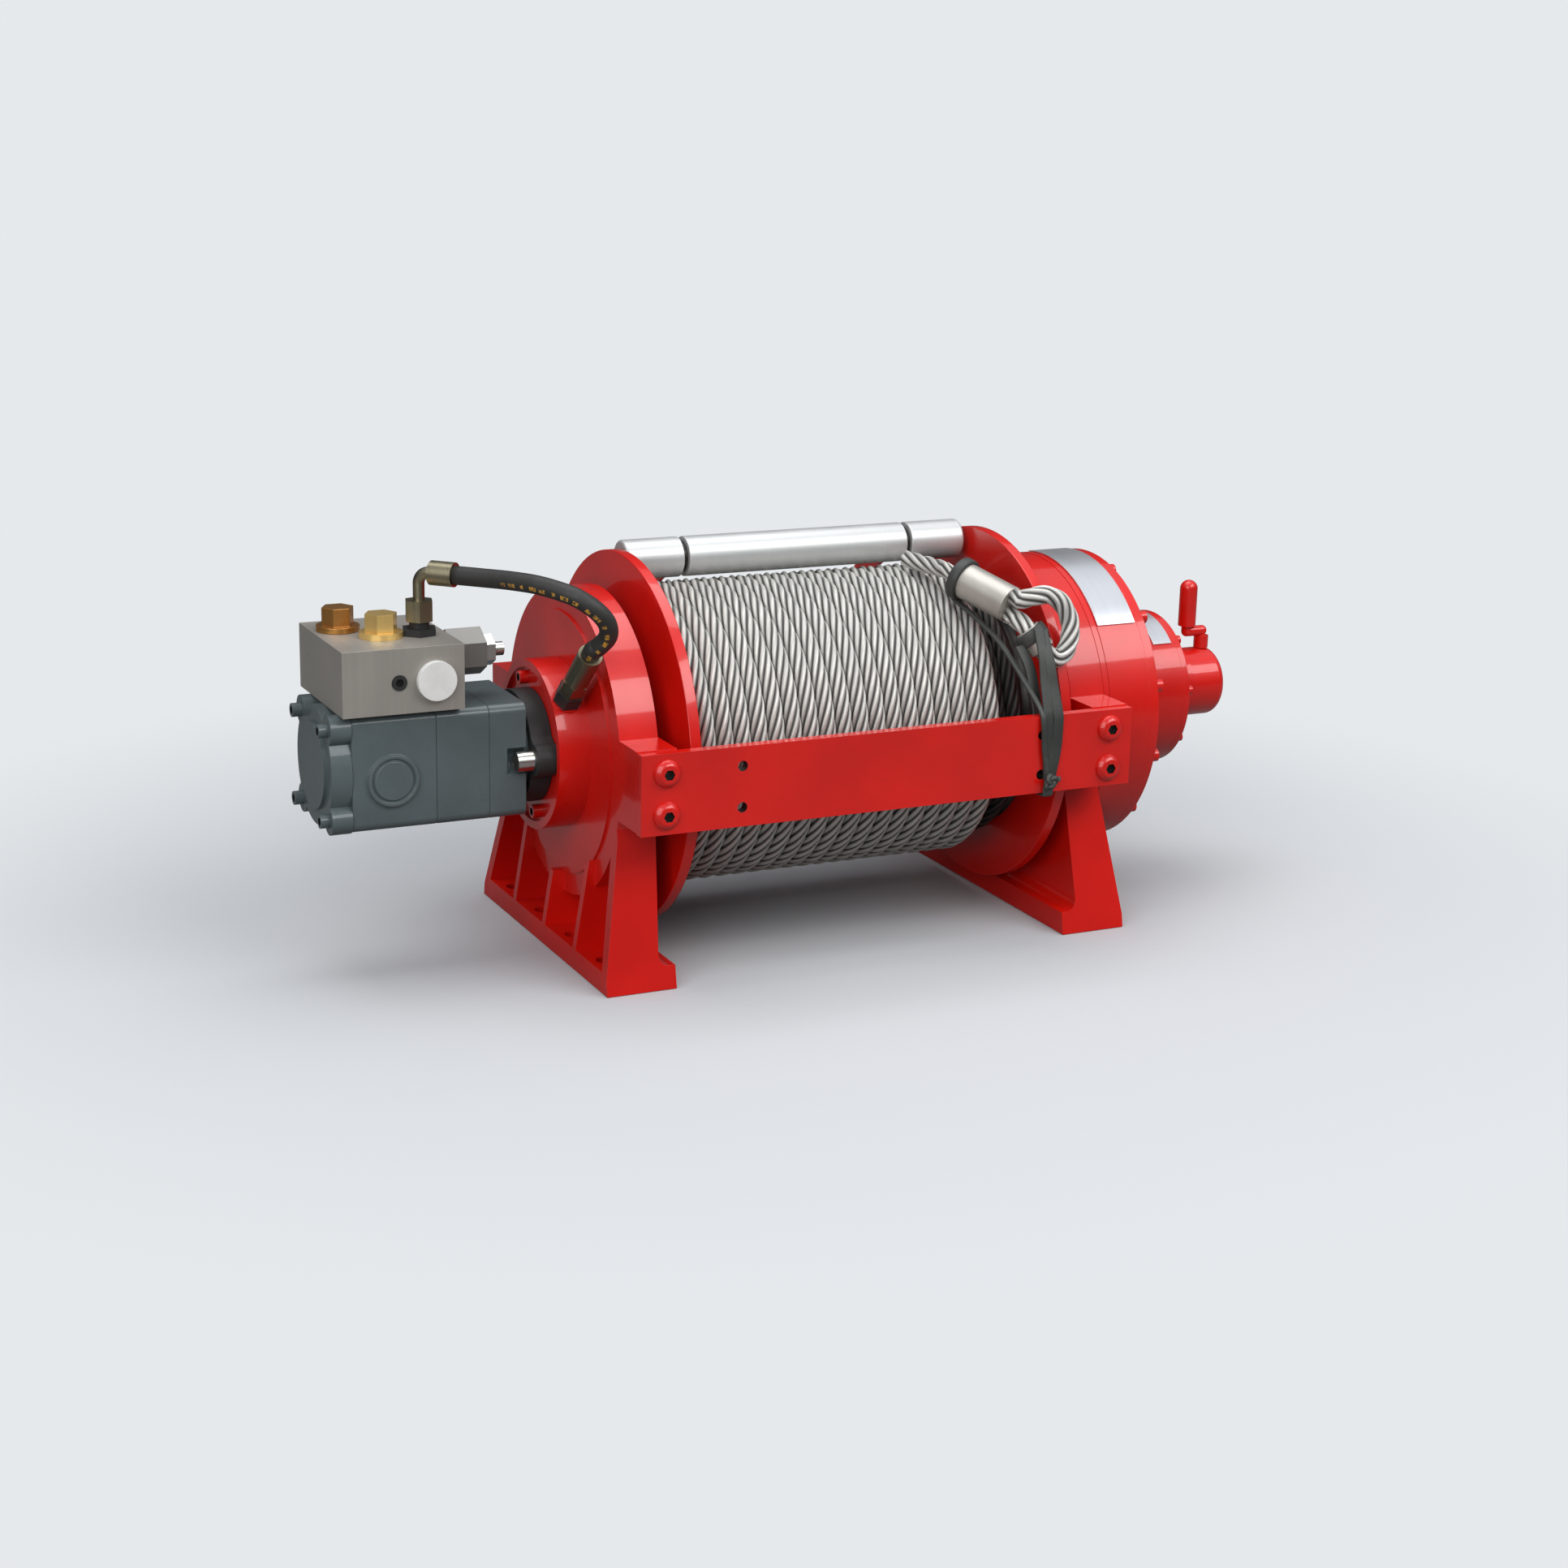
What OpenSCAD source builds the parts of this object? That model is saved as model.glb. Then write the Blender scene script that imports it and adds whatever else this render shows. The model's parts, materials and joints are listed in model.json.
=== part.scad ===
// Hydraulic recovery winch: planetary drum winch on two cast feet.
// The origin is on the base plane under the middle of the drum. X runs along the drum axis,
// with the motor at -X and the gearbox at +X. The rope leaves over the front, at -Y.

/* [Drum and rope] */
// Height of the drum axis over the feet
axis_height = 185; // [180:1:195]
// Width between the drum flanges
drum_width = 350; // [340:1:360]
// Radius of the drum flanges
flange_r = 165; // [155:1:168]
// Thickness of one drum flange
flange_t = 10; // [6:1:14]
// Radius of the barrel under the rope
barrel_r = 91; // [80:1:92]
// Wall of the barrel
barrel_wall = 15; // [10:1:20]
// Diameter of the wire rope
rope_d = 15.8; // [14:0.1:15.8]
// Distance from one turn to the next
turn_pitch = 16.3; // [16.3:0.1:16.8]
// Height that each further layer adds
layer_step = 14; // [13:0.5:14]
// Layers of rope on the drum
rope_layers = 3; // [2:1:3]
// Width left bare beside the outer layer, at the gearbox end
outer_bare = 33; // [20:1:160]

/* [Brackets] */
// Gap between a drum flange and its bracket
flange_gap = 17; // [15:1:24]
// Thickness of the round housing of a bracket
housing_t = 35; // [32:1:45]
// Radius of the round housing
housing_r = 136.5; // [134:0.5:145]
// Length of a foot, front to back
foot_length = 312; // [300:2:340]
// Thickness of the foot plate
foot_t = 18; // [12:1:24]
// How far the foot reaches out past the housing
foot_reach = 19; // [16:1:26]
// How far the toe reaches in under the drum flange
toe_reach = 10; // [6:1:12]
// Thickness of the web, walls and outer ribs
web_t = 12; // [8:1:16]
// Thickness of one rib between foot and housing
rib_t = 8; // [6:1:12]
// Diameter of a foot bolt hole
foot_hole_d = 17.5; // [13:0.5:20]
// Distance between the bolt holes in one foot
foot_hole_pitch = 75; // [70:1:80]

/* [Tie bars] */
// Height of a tie bar
bar_height = 70; // [60:1:80]
// Thickness of a tie bar
bar_t = 10; // [8:1:14]
// Distance from the drum axis to the inner face of a tie bar
bar_y = 171; // [170:1:180]
// Distance between the two screws of one end
bar_screw_pitch = 36; // [30:1:44]
// Thread diameter of the bar screws
bar_screw_d = 12; // [10:1:14]
// Distance between the accessory holes along a bar
accessory_pitch = 290; // [280:1:300]
// Diameter of an accessory hole
accessory_d = 9; // [7:0.5:11]

/* [Hydraulic motor] */
// Side of the square motor body
motor_side = 100; // [96:1:110]
// Length of the bearing housing
motor_front_l = 38; // [30:1:46]
// Length of the gear set
motor_gear_l = 47; // [30:1:60]
// Length of the port housing
motor_port_l = 74; // [70:1:90]
// Thickness of the end cover
motor_end_t = 18; // [12:1:24]
// Distance between the flange screws
motor_screw_pitch = 106.4; // [106:0.1:110]
// Thickness of the mounting flange
motor_flange_t = 20; // [14:1:24]
// Diameter of the motor and input shafts
shaft_d = 24; // [20:1:24]

/* [Brake] */
// Radius of the brake housing
brake_r = 75; // [72:1:80]
// Length of the brake housing outside the bracket
brake_l = 31; // [30:1:36]
// Radius of the brake bore
brake_bore_r = 46; // [44:0.5:46]
// Thickness of a brake disc
disc_t = 2.5; // [2:0.1:2.5]
// Angle of the hose port from the top towards the front
brake_port_angle = 47; // [40:1:60]

/* [Valve block] */
// Length of the valve block along the motor
block_l = 106; // [100:1:112]
// Depth of the valve block, front to back
block_w = 126; // [120:1:136]
// Height of the valve block
block_h = 56; // [50:1:60]
// Diameter of the hose
hose_d = 16; // [12:1:16]

/* [Gearbox] */
// Radius of the large gear housing
gear_r = 137; // [136:0.5:145]
// Length of the large gear housing
gear_l = 49; // [48:1:60]
// Thickness of the gearbox cover
cover_t = 9; // [8:1:14]
// Radius of the small gear housing
small_gear_r = 73; // [72:0.5:80]
// Length of the small gear housing
small_gear_l = 70; // [68:1:80]
// Module of the low-speed gears
low_module = 4; // [3.9:0.05:4]
// Module of the high-speed gears
high_module = 2; // [1.9:0.05:2]
// Teeth of the sun gears
sun_teeth = 15;
// Teeth of the planet gears
planet_teeth = 21;
// Planets in each stage
planets = 3;

/* [Clutch] */
// Radius of the clutch barrel
clutch_r = 33; // [30:1:36]
// Length of the clutch barrel
clutch_l = 69; // [66:1:80]
// Height of the lever over the barrel
lever_h = 68; // [50:1:80]

/* [Rope roller] */
// Radius of the rope roller
roller_r = 18; // [15:0.5:18]
// Gap between a drum flange and the end of the rollers
roller_end_gap = 5.5; // [2:0.5:8]
// Distance between the two arms
arm_pitch = 224; // [210:1:226]
// Thickness of an arm
arm_t = 4; // [3:0.5:5]

/* [Hidden] */

$fn = 48;
overrun = 1;
fit = 0.05;
seat = 0.3;
disc_gap = 0.2;

paint_red = [0.80, 0.10, 0.09];
cast_grey = [0.33, 0.36, 0.38];
flange_black = [0.17, 0.16, 0.15];
block_brown = [0.53, 0.50, 0.47];
bright_gold = [0.80, 0.63, 0.28];
dull_gold = [0.62, 0.42, 0.18];
olive_zinc = [0.62, 0.60, 0.50];
steel = [0.72, 0.73, 0.74];
dark_steel = [0.36, 0.37, 0.38];
bronze = [0.66, 0.48, 0.25];
rubber_black = [0.10, 0.10, 0.10];
strap_grey = [0.25, 0.26, 0.25];
rope_grey = [0.62, 0.63, 0.62];
satin_silver = [0.80, 0.80, 0.80];
ferrule_grey = [0.72, 0.71, 0.68];
cap_white = [0.90, 0.90, 0.88];

// Shapes along the drum axis. Each starts at x and runs towards +X.
module on_axis(x) { translate([x, 0, axis_height]) rotate([0, 90, 0]) children(); }
module disc(x, l, r) { on_axis(x) cylinder(h = l, r = r); }
module ring(x, l, r, bore) {
    difference() {
        disc(x, l, r);
        disc(x - overrun, l + 2 * overrun, bore);
    }
}

// A flat outline in the plane of the drum flanges, with y and height over the axis, pulled along X.
module across(x, l) {
    translate([x, 0, axis_height]) rotate([90, 0, 90]) linear_extrude(height = l) children();
}

// A place on a circle round the axis, by its angle from the top towards the front.
function around(r, a) = [-r * sin(a), r * cos(a)];
module at_angle(x, r, a) {
    translate([x, -r * sin(a), axis_height + r * cos(a)]) rotate([0, 90, 0]) children();
}

// Outline of a rectangle with round corners.
corner_steps = 4;
function round_rect(w, h, r) = [
    for (c = [[1, 1, 0], [-1, 1, 90], [-1, -1, 180], [1, -1, 270]], i = [0 : corner_steps])
        let (a = c[2] + i * 90 / corner_steps)
        [c[0] * (w / 2 - r) + r * cos(a), c[1] * (h / 2 - r) + r * sin(a)]
];

module hexagon(across_flats, h) { cylinder(h = h, d = across_flats / cos(30), $fn = 6); }

// Socket-head screw. It stands on z = 0, with the head up and the shank down.
head_share = 1.5;
socket_share = 0.84;
socket_depth_share = 0.5;
module socket_screw(d, head_l, shank) {
    difference() {
        cylinder(h = head_l, d = head_share * d);
        translate([0, 0, head_l - socket_depth_share * d]) hexagon(socket_share * d, d);
    }
    translate([0, 0, -shank]) cylinder(h = shank, d = d);
}
// Button-head screw with a thin rim, standing like the socket-head screw.
button_head_share = 2;
button_rise_share = 0.5;
button_shares = [[1, 0], [1, 0.25], [0.93, 0.5], [0.77, 0.8], [0.56, 1]];
button_socket_share = 0.7;
module button_screw(d, shank) {
    head_r = button_head_share * d / 2;
    head_h = button_rise_share * d;
    difference() {
        rotate_extrude() polygon([
            [0, 0], for (p = button_shares) [head_r * p[0], head_h * p[1]], [0, head_h]
        ]);
        translate([0, 0, head_h / 4]) hexagon(button_socket_share * d, d);
    }
    translate([0, 0, -shank]) cylinder(h = shank, d = d);
}
// Screws and plugs that look along the drum axis: way is -1 for a head at the -X side.
module screw_at(x, r, a, way) { at_angle(x, r, a) rotate([0, way < 0 ? 180 : 0, 0]) children(); }

// Swept tubes and bands: a ring of points at every point of a path, joined by triangles.
function unit(v) = v / norm(v);
function tangents(p) = [
    for (i = [0 : len(p) - 1]) unit(p[min(i + 1, len(p) - 1)] - p[max(i - 1, 0)])
];
function square_to(v, t) = unit(v - t * (v * t));
function carried(ts, n, i = 0) =
    i >= len(ts) ? [] : let (m = square_to(n, ts[i])) concat([m], carried(ts, m, i + 1));
function sweep_faces(count, sides) = concat(
    [for (i = [0 : count - 2], k = [0 : sides - 1], half = [0, 1])
        let (a = i * sides + k, b = i * sides + (k + 1) % sides)
        half == 0 ? [a, a + sides, b] : [b, a + sides, b + sides]],
    [for (k = [1 : sides - 2]) [0, k, k + 1]],
    [for (k = [1 : sides - 2]) let (o = (count - 1) * sides) [o, o + k + 1, o + k]]
);
module tube(path, normals, r, sides) {
    ts = tangents(path);
    rings = [for (i = [0 : len(path) - 1], k = [0 : sides - 1])
        let (b = cross(ts[i], normals[i]), a = 360 * k / sides)
        path[i] + r * (cos(a) * normals[i] + sin(a) * b)];
    polyhedron(points = rings, faces = sweep_faces(len(path), sides));
}
// A flat band. Its widths are measured along side_way, and its thickness square to that.
module band(path, widths, thickness, side_way) {
    ts = tangents(path);
    rings = [for (i = [0 : len(path) - 1], c = [[1, 1], [-1, 1], [-1, -1], [1, -1]])
        let (s = square_to(side_way, ts[i]), n = cross(ts[i], s))
        path[i] + c[0] * s * widths[i] / 2 + c[1] * n * thickness / 2];
    polyhedron(points = rings, faces = sweep_faces(len(path), 4));
}

// Places along X, worked out from the middle of the drum.
brake_recess = 4;
small_cover_t = 6;
flange_in = drum_width / 2;
flange_out = flange_in + flange_t;
bracket_in = flange_out + flange_gap;
bracket_out = bracket_in + housing_t;
brake_end = bracket_out + brake_l;
motor_face = brake_end - brake_recess;
motor_body = motor_face + motor_flange_t;
gear_set_x = motor_body + motor_front_l;
port_x = gear_set_x + motor_gear_l;
end_cover_x = port_x + motor_port_l;
motor_end = end_cover_x + motor_end_t;
cover_x = bracket_out + gear_l;
small_gear_x = cover_x + cover_t;
small_cover_x = small_gear_x + small_gear_l;
clutch_x = small_cover_x + small_cover_t;
clutch_end = clutch_x + clutch_l;

// Bracket details
toe_h = 20;
toe_fillet = 10;
wall_step = 5;
wall_edge_h = 12;
wall_top_h = 130;
wall_lean = 26;
boss_inset = 46;
boss_drop = 38;
boss_rise = 32;
boss_in_step = 1;
bush_l = 16;
bush_wall = 7;
journal_r = 55;
inner_wall_t = 4;
foot_hole_out = 3;
foot_hole_x = bracket_out + foot_hole_out;
bar_centre_drop = 4;
bar_screw_in = 12;
bar_screw_x = bracket_in + bar_screw_in;
bar_clear = 0.6;

toe_fillet_x = bracket_in + wall_step - toe_fillet;
module bracket_side_outline() {
    // Seen along Y: the drum side is vertical with a toe, the outer side leans in towards the top.
    polygon([
        [bracket_in - toe_reach, 0], [bracket_out + foot_reach, 0], [bracket_out + foot_reach, wall_edge_h],
        [bracket_out, wall_top_h], [bracket_out, axis_height], [bracket_in, axis_height],
        [bracket_in, wall_top_h],
        for (a = [0 : 90 / corner_steps : 90])
            [toe_fillet_x + toe_fillet * cos(a), toe_h + toe_fillet - toe_fillet * sin(a)],
        [bracket_in - toe_reach, toe_h]
    ]);
}

bay_web_x = bracket_in + wall_step + web_t;
function wall_half(z) = foot_length / 2 - wall_lean * z / wall_top_h;
module bay(y0, y1) {
    // One open bay between two ribs, seen along X, with its corner at the foot.
    polygon([[y0, foot_t], [min(y1, wall_half(foot_t) - web_t), foot_t],
        [min(y1, wall_half(axis_height) - web_t), axis_height], [y0, axis_height]]);
}

module bracket_body() {
    difference() {
        intersection() {
            translate([0, foot_length / 2, 0]) rotate([90, 0, 0]) linear_extrude(height = foot_length)
                bracket_side_outline();
            rotate([90, 0, 90]) linear_extrude(height = bracket_out + foot_reach)
                polygon([[-foot_length / 2, 0], [foot_length / 2, 0],
                    [wall_half(axis_height), axis_height], [-wall_half(axis_height), axis_height]]);
        }
        for (s = [-1, 1]) {
            translate([bay_web_x, 0, 0]) rotate([90, 0, 90])
                linear_extrude(height = foot_reach + housing_t) {
                    scale([s, 1]) bay(rib_t / 2, foot_hole_pitch - rib_t / 2);
                    scale([s, 1]) bay(foot_hole_pitch + rib_t / 2, foot_length);
                }
            for (i = [0, 1])
                translate([foot_hole_x, s * foot_hole_pitch * (i + 1 / 2), -overrun])
                    cylinder(h = foot_t + 2 * overrun, d = foot_hole_d);
        }
    }
}

module bracket(bore, mate_r) {
    // The bores of both housings, and room for the round part of radius mate_r that is bolted on outside.
    difference() {
        union() {
            bracket_body();
            disc(bracket_in, housing_t, housing_r);
            for (s = [-1, 1])
                translate([bracket_in - boss_in_step, s > 0 ? bar_y - boss_inset : -bar_y,
                    axis_height - boss_drop])
                    cube([housing_t + boss_in_step, boss_inset, boss_drop + boss_rise]);
        }
        disc(bracket_out, foot_reach + overrun, mate_r + seat);
        disc(bracket_in - overrun, bush_l + overrun, journal_r + bush_wall);
        disc(bracket_in, housing_t + overrun, bore);
        disc(bracket_in + bush_l + inner_wall_t, housing_t, brake_bore_r);
        for (s = [-1, 1], z = [-1, 1])
            translate([bar_screw_x, s * (bar_y + overrun), bar_hole_z(z)])
                rotate([s * 90, 0, 0]) cylinder(h = boss_inset / 2 + overrun, d = bar_screw_d + 2 * fit);
    }
}

module left_bracket() {
    color(paint_red) difference() {
        mirror([1, 0, 0]) bracket(brake_rod_bore_r, brake_flange_r);
        for (a = brake_screw_angles)
            at_angle(-bracket_out - overrun, brake_screw_r, a)
                cylinder(h = brake_screw_depth + 2 * overrun, d = brake_screw_d + 2 * fit);
    }
}
module right_bracket() {
    color(paint_red) difference() {
        bracket(carrier_neck_r + neck_gap, gear_r);
        housing_holes(bracket_out - housing_screw_depth - overrun, housing_screw_depth + 2 * overrun);
    }
}

bar_centre_z = axis_height - bar_centre_drop;
function bar_hole_z(side) = bar_centre_z + side * bar_screw_pitch / 2;
module tie_bar(front) {
    // A flat bar along X with screw holes at its ends and four accessory holes.
    color(paint_red) difference() {
        translate([-bracket_out, front ? -bar_y - bar_t : bar_y, bar_centre_z - bar_height / 2])
            cube([2 * bracket_out, bar_t, bar_height]);
        for (x = [-1, 1], z = [-1, 1]) {
            bar_hole(x * bar_screw_x, z, bar_screw_d + 2 * bar_clear, front);
            bar_hole(x * accessory_pitch / 2, z, accessory_d, front);
        }
    }
}
module bar_hole(x, z, d, front) {
    translate([x, (front ? -1 : 1) * (bar_y - overrun), bar_hole_z(z)])
        rotate([front ? 90 : -90, 0, 0]) cylinder(h = bar_t + 2 * overrun, d = d);
}
module front_tie_bar() { tie_bar(true); }
module rear_tie_bar() { tie_bar(false); }

module tie_bar_screws() {
    color(paint_red) for (x = [-1, 1], s = [-1, 1], z = [-1, 1])
        translate([x * bar_screw_x, s * (bar_y + bar_t), bar_hole_z(z)])
            rotate([-s * 90, 0, 0]) button_screw(bar_screw_d, bar_t + boss_inset / 3);
}

// Brake: discs pressed together by springs, released by oil pressure on the piston.
brake_recess_r = 68;
brake_wall_t = 4;
brake_flange_r = 117;
brake_flange_t = 2;
brake_rod_bore_r = 30;
pilot_r = 41.25;
hub_r = 22;
hub_l = 36;
friction_r = 43;
steel_bore_r = 27;
friction_discs = 4;
piston_t = 8;
piston_stroke = 1.5;
spring_count = 8;
spring_pitch_r = 36.5;
spring_r = 4.5;
spring_bore_share = 0.6;
pocket_depth = 4;
brake_port_r = 5;
brake_port_out = 17;
brake_port_x = bracket_out + brake_port_out;
brake_screw_d = 8;
brake_screw_r = 59;
brake_screw_depth = 13;
port_spot = 1;
port_spot_r = 13;
brake_screw_angles = [-16, 164];

brake_wall_x = brake_end - brake_recess - brake_wall_t;
stack_x = bracket_out - housing_t + bush_l + inner_wall_t + disc_gap;
stack_l = (2 * friction_discs + 1) * (disc_t + disc_gap);
piston_x = stack_x + stack_l;

// A radial place on the brake housing: z runs outwards along the port axis.
module at_brake_port() {
    translate([-brake_port_x, 0, axis_height]) rotate([brake_port_angle, 0, 0]) children();
}

module brake_housing() {
    color(paint_red) difference() {
        union() {
            disc(-brake_end, brake_l, brake_r);
            disc(-bracket_out - brake_flange_t, brake_flange_t, brake_flange_r);
            at_brake_port() translate([0, 0, brake_bore_r + port_spot])
                cylinder(h = brake_r - brake_bore_r, r = port_spot_r);
        }
        disc(-brake_end - overrun, brake_recess + overrun, brake_recess_r);
        disc(-brake_end, brake_l, pilot_r + fit);
        disc(-brake_wall_x, brake_wall_x, brake_bore_r);
        at_brake_port() cylinder(h = brake_r + port_spot + overrun, r = brake_port_r + fit);
        for (a = [-90, 90])
            at_angle(-motor_face - overrun, motor_screw_pitch / 2, a)
                cylinder(h = motor_screw_depth + 2 * overrun, d = motor_screw_d + 2 * fit);
        for (a = brake_screw_angles)
            at_angle(-brake_end, brake_screw_r, a) cylinder(h = brake_l, d = brake_screw_d + 2 * fit);
    }
}

module brake_piston() {
    color(steel) difference() {
        ring(-piston_x - piston_t, piston_t, brake_bore_r - fit, steel_bore_r);
        for (i = [0 : spring_count - 1])
            at_angle(-piston_x - piston_t - overrun, spring_pitch_r, i * 360 / spring_count)
                cylinder(h = pocket_depth + overrun, r = spring_r + disc_gap);
    }
}

module brake_springs() {
    spring_l = brake_wall_x - piston_x - piston_t + pocket_depth - piston_stroke - disc_gap / 2;
    color(dark_steel) for (i = [0 : spring_count - 1])
        at_angle(-brake_wall_x, spring_pitch_r, i * 360 / spring_count) difference() {
            cylinder(h = spring_l, r = spring_r);
            translate([0, 0, -overrun])
                cylinder(h = spring_l + 2 * overrun, r = spring_bore_share * spring_r);
        }
}

module brake_friction_discs() {
    color(bronze) for (i = [0 : friction_discs - 1])
        ring(-stack_x - (2 * i + 2) * (disc_t + disc_gap) + disc_gap, disc_t, friction_r, hub_r + fit);
}

module brake_steel_discs() {
    color(steel) for (i = [0 : friction_discs])
        ring(-stack_x - (2 * i + 1) * (disc_t + disc_gap) + disc_gap, disc_t,
            brake_bore_r - fit, steel_bore_r);
}

module brake_hub() {
    color(dark_steel) ring(-stack_x - hub_l, hub_l, hub_r, shaft_d / 2 + fit);
}

// Motor
motor_corner_r = 8;
motor_neck_l = 5;
motor_neck_r = 44;
ear_r = 14;
flange_body_r = 50;
shaft_seal_r = 20;
gerotor_lobes = 7;
gerotor_r = 36;
gerotor_lobe_r = 8;
star_r = 20;
star_lobe_r = 6;
boss_r = 22.5;
boss_t = 3;
boss_drop_z = 6.5;
boss_x_share = 0.52;
boss_groove = 2;
boss_groove_r = 17;
pad_l = 90;
pad_w = 70;
pad_h = 2;
end_lobe_inset = 11;
end_disc_r = motor_side / 2 + pad_h - seat;
end_lobe_r = end_lobe_inset + pad_h - seat;
end_screw_d = 8;
end_dome_t = 3;
end_dome_r = 38;
motor_screw_d = 12;
motor_screw_depth = 16;
motor_head_l = 16;
notch_l = 22;
notch_r = 12;
pilot_l = 4;
shaft_past = 6;
shaft_overlap = 8;
shaft_gap = 0.5;
shaft_tip_r = 10;
motor_shaft_out = gear_set_x + shaft_past;
shaft_joint_x = stack_x + hub_l - shaft_overlap;

// Valve block details
block_over = 23;
block_shift_y = 6;
block_x1 = block_over - port_x;
block_x0 = block_x1 - block_l;
block_y0 = block_shift_y - block_w / 2;
block_z0 = axis_height + motor_side / 2 + pad_h;
block_top = block_z0 + block_h;
plug_inset = 22.5;
plug_back = 40;
front_plug_inset = 49;
adapter_inset = 24;
adapter_front = 47;
plug_rear = [block_x0 + plug_inset, block_y0 + block_w - plug_back];
plug_front = [block_x0 + front_plug_inset, block_y0 + front_plug_inset];
adapter_at = [block_x1 - adapter_inset, block_y0 + adapter_front];
plug_washer_r = 18.5;
plug_washer_t = 5;
plug_af = 24.5;
plug_hex_h = 15.5;
plug_depth = 14;
plug_shank_r = 9;
cap_inset = 25.5;
cap_up = 26.8;
cap_at = [block_x1 - cap_inset, block_z0 + cap_up];
cap_r = 17;
cap_t = 6;
cap_shank_r = 13;
cap_depth = 12;
socket_inset = 57;
socket_at = [block_x1 - socket_inset, block_z0 + cap_up];
socket_plug_r = 6.5;
socket_plug_l = 8;
relief_back = 52;
relief_up = 37;
relief_at = [block_y0 + relief_back, block_z0 + relief_up];
relief_af = 36;
relief_body_l = 32;
relief_nut_af = 24;
relief_nut_l = 10;
relief_screw_r = 6;
relief_screw_l = 10;

// Hose and its fittings
elbow_turn = 45;
adapter_af = 27;
adapter_hex_h = 6;
adapter_neck_r = 8.5;
adapter_neck_h = 6;
elbow_nut_af = 22;
elbow_nut_h = 18;
elbow_rise = 54;
elbow_bend = 10;
elbow_r = 5;
ferrule_from = 12;
ferrule_to = 34;
ferrule_wall = 2.5;
brake_adapter_af = 22;
brake_adapter_h = 16;
brake_nut_af = 20;
brake_nut_h = 16;
brake_hose_r = 150;
hose_lead = 8;
hose_steps = 4;
hose_sides = 10;
hose_shares = [0.143, 0.286, 0.429, 0.571, 0.643, 0.714, 0.786, 0.857, 0.929];
hose_offsets = [
    [5.8, -11.0, 8.9], [8.9, -23.2, 18.3], [11.3, -36.2, 26.4], [15.2, -47.0, 30.4],
    [18.7, -49.4, 29.3], [22.7, -47.9, 25.1], [25.0, -41.0, 18.5], [21.7, -29.4, 10.8],
    [10.6, -15.2, 4.9]
];

// Drum details
journal_end = bracket_in + bush_l - 2 * overrun;
left_journal_bore_r = 25;
carrier_neck_r = 40;
neck_gap = 2;
rope_side_gap = 0.6;
core_gap = 0.1;
first_turn_angle = 150;
rings_per_turn = 24;
rings_per_curl = 8;
form_sides = 6;

// Gearbox details
pressure = 25;
addendum_share = 0.9;
dedendum_share = 1.25;
gear_play = 0.5;
gear_step = 0.2;
seam_x = 5.4;
seam_w = 1;
seam_depth = 0.6;
housing_screw_count = 12;
housing_screw_d = 8;
housing_screw_r = 128;
housing_screw_depth = 13;
small_screw_count = 8;
small_screw_d = 6;
small_screw_r = 65.5;
small_screw_turn = 37;
small_screw_depth = 7;
cover_bore_r = 36;
cover_boss_l = 15;
cover_boss_r = 20;
neck_reach = 12;
carrier_bore_r = 26;
carrier_plate_t = 10;
plate_gap = 3;
end_plate_t = 4;
end_plate_gap = 1;
planet_gap = 2;
low_plate_r = 100;
low_pin_r = 14;
low_plate_x = bracket_out + plate_gap;
low_pin_l = gear_l - plate_gap - carrier_plate_t - end_plate_t - end_plate_gap;
low_planet_x = low_plate_x + carrier_plate_t + planet_gap;
low_planet_l = low_pin_l - 2 * planet_gap - end_plate_gap;
high_plate_r = 52;
high_pin_r = 7;
high_planet_l = 26;
high_plate_x = small_gear_x + plate_gap + planet_gap;
high_planet_x = high_plate_x + carrier_plate_t + planet_gap;
high_pin_l = high_planet_l + 2 * planet_gap;
sun_neck_r = 24;
sun_bore_r = 15;

// Clutch details
clutch_step = 2;
clutch_step_l = 31;
clutch_round = 8;
clutch_wall = 2.5;
plunger_r = 12;
plunger_gap = 3;
cam_room_r = 16;
cam_room_l = 19.5;
lever_inset = 10.5;
lever_r = 4;
lever_hub_r = 7;
cam_offset = 2.5;
cam_r = 4.5;
cam_low = 6;
cam_high = 14;
crank_rise = 17;
crank_h = 10;
crank_l = 17.5;
grip_l = 45;
grip_r = 8.5;

// Nameplates
plate_t = 0.8;
plate_l = 40;
plate_in = 42;
plate_angles = [-10, 49.5];
small_plate_l = 20;
small_plate_in = 24;
small_plate_angles = [-10, 44];

// Rope press details
roller_angle = 12.3;
roller_rope_gap = 1.8;
roller_round = 3;
roller_wall = 3;
roller_shaft_r = 8;
arm_gap = 0.5;
arm_half_w = 11.5;
arm_eye_r = 14;
arm_turn = 62;
arm_lap = 4;
pivot_back = 16;
pivot_rise = 45;
spring_room = 14;
bracket_lug_t = 8;
bracket_plate_t = 6;
bracket_plate_in = 6;
lug_eye_r = 13;
pivot_end = 4;
accessory_screw_d = 8;
spring_curls = 3.5;
spring_wire_r = 1.2;
spring_coil_r = 12.5;
spring_side_gap = 0.6;

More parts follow.
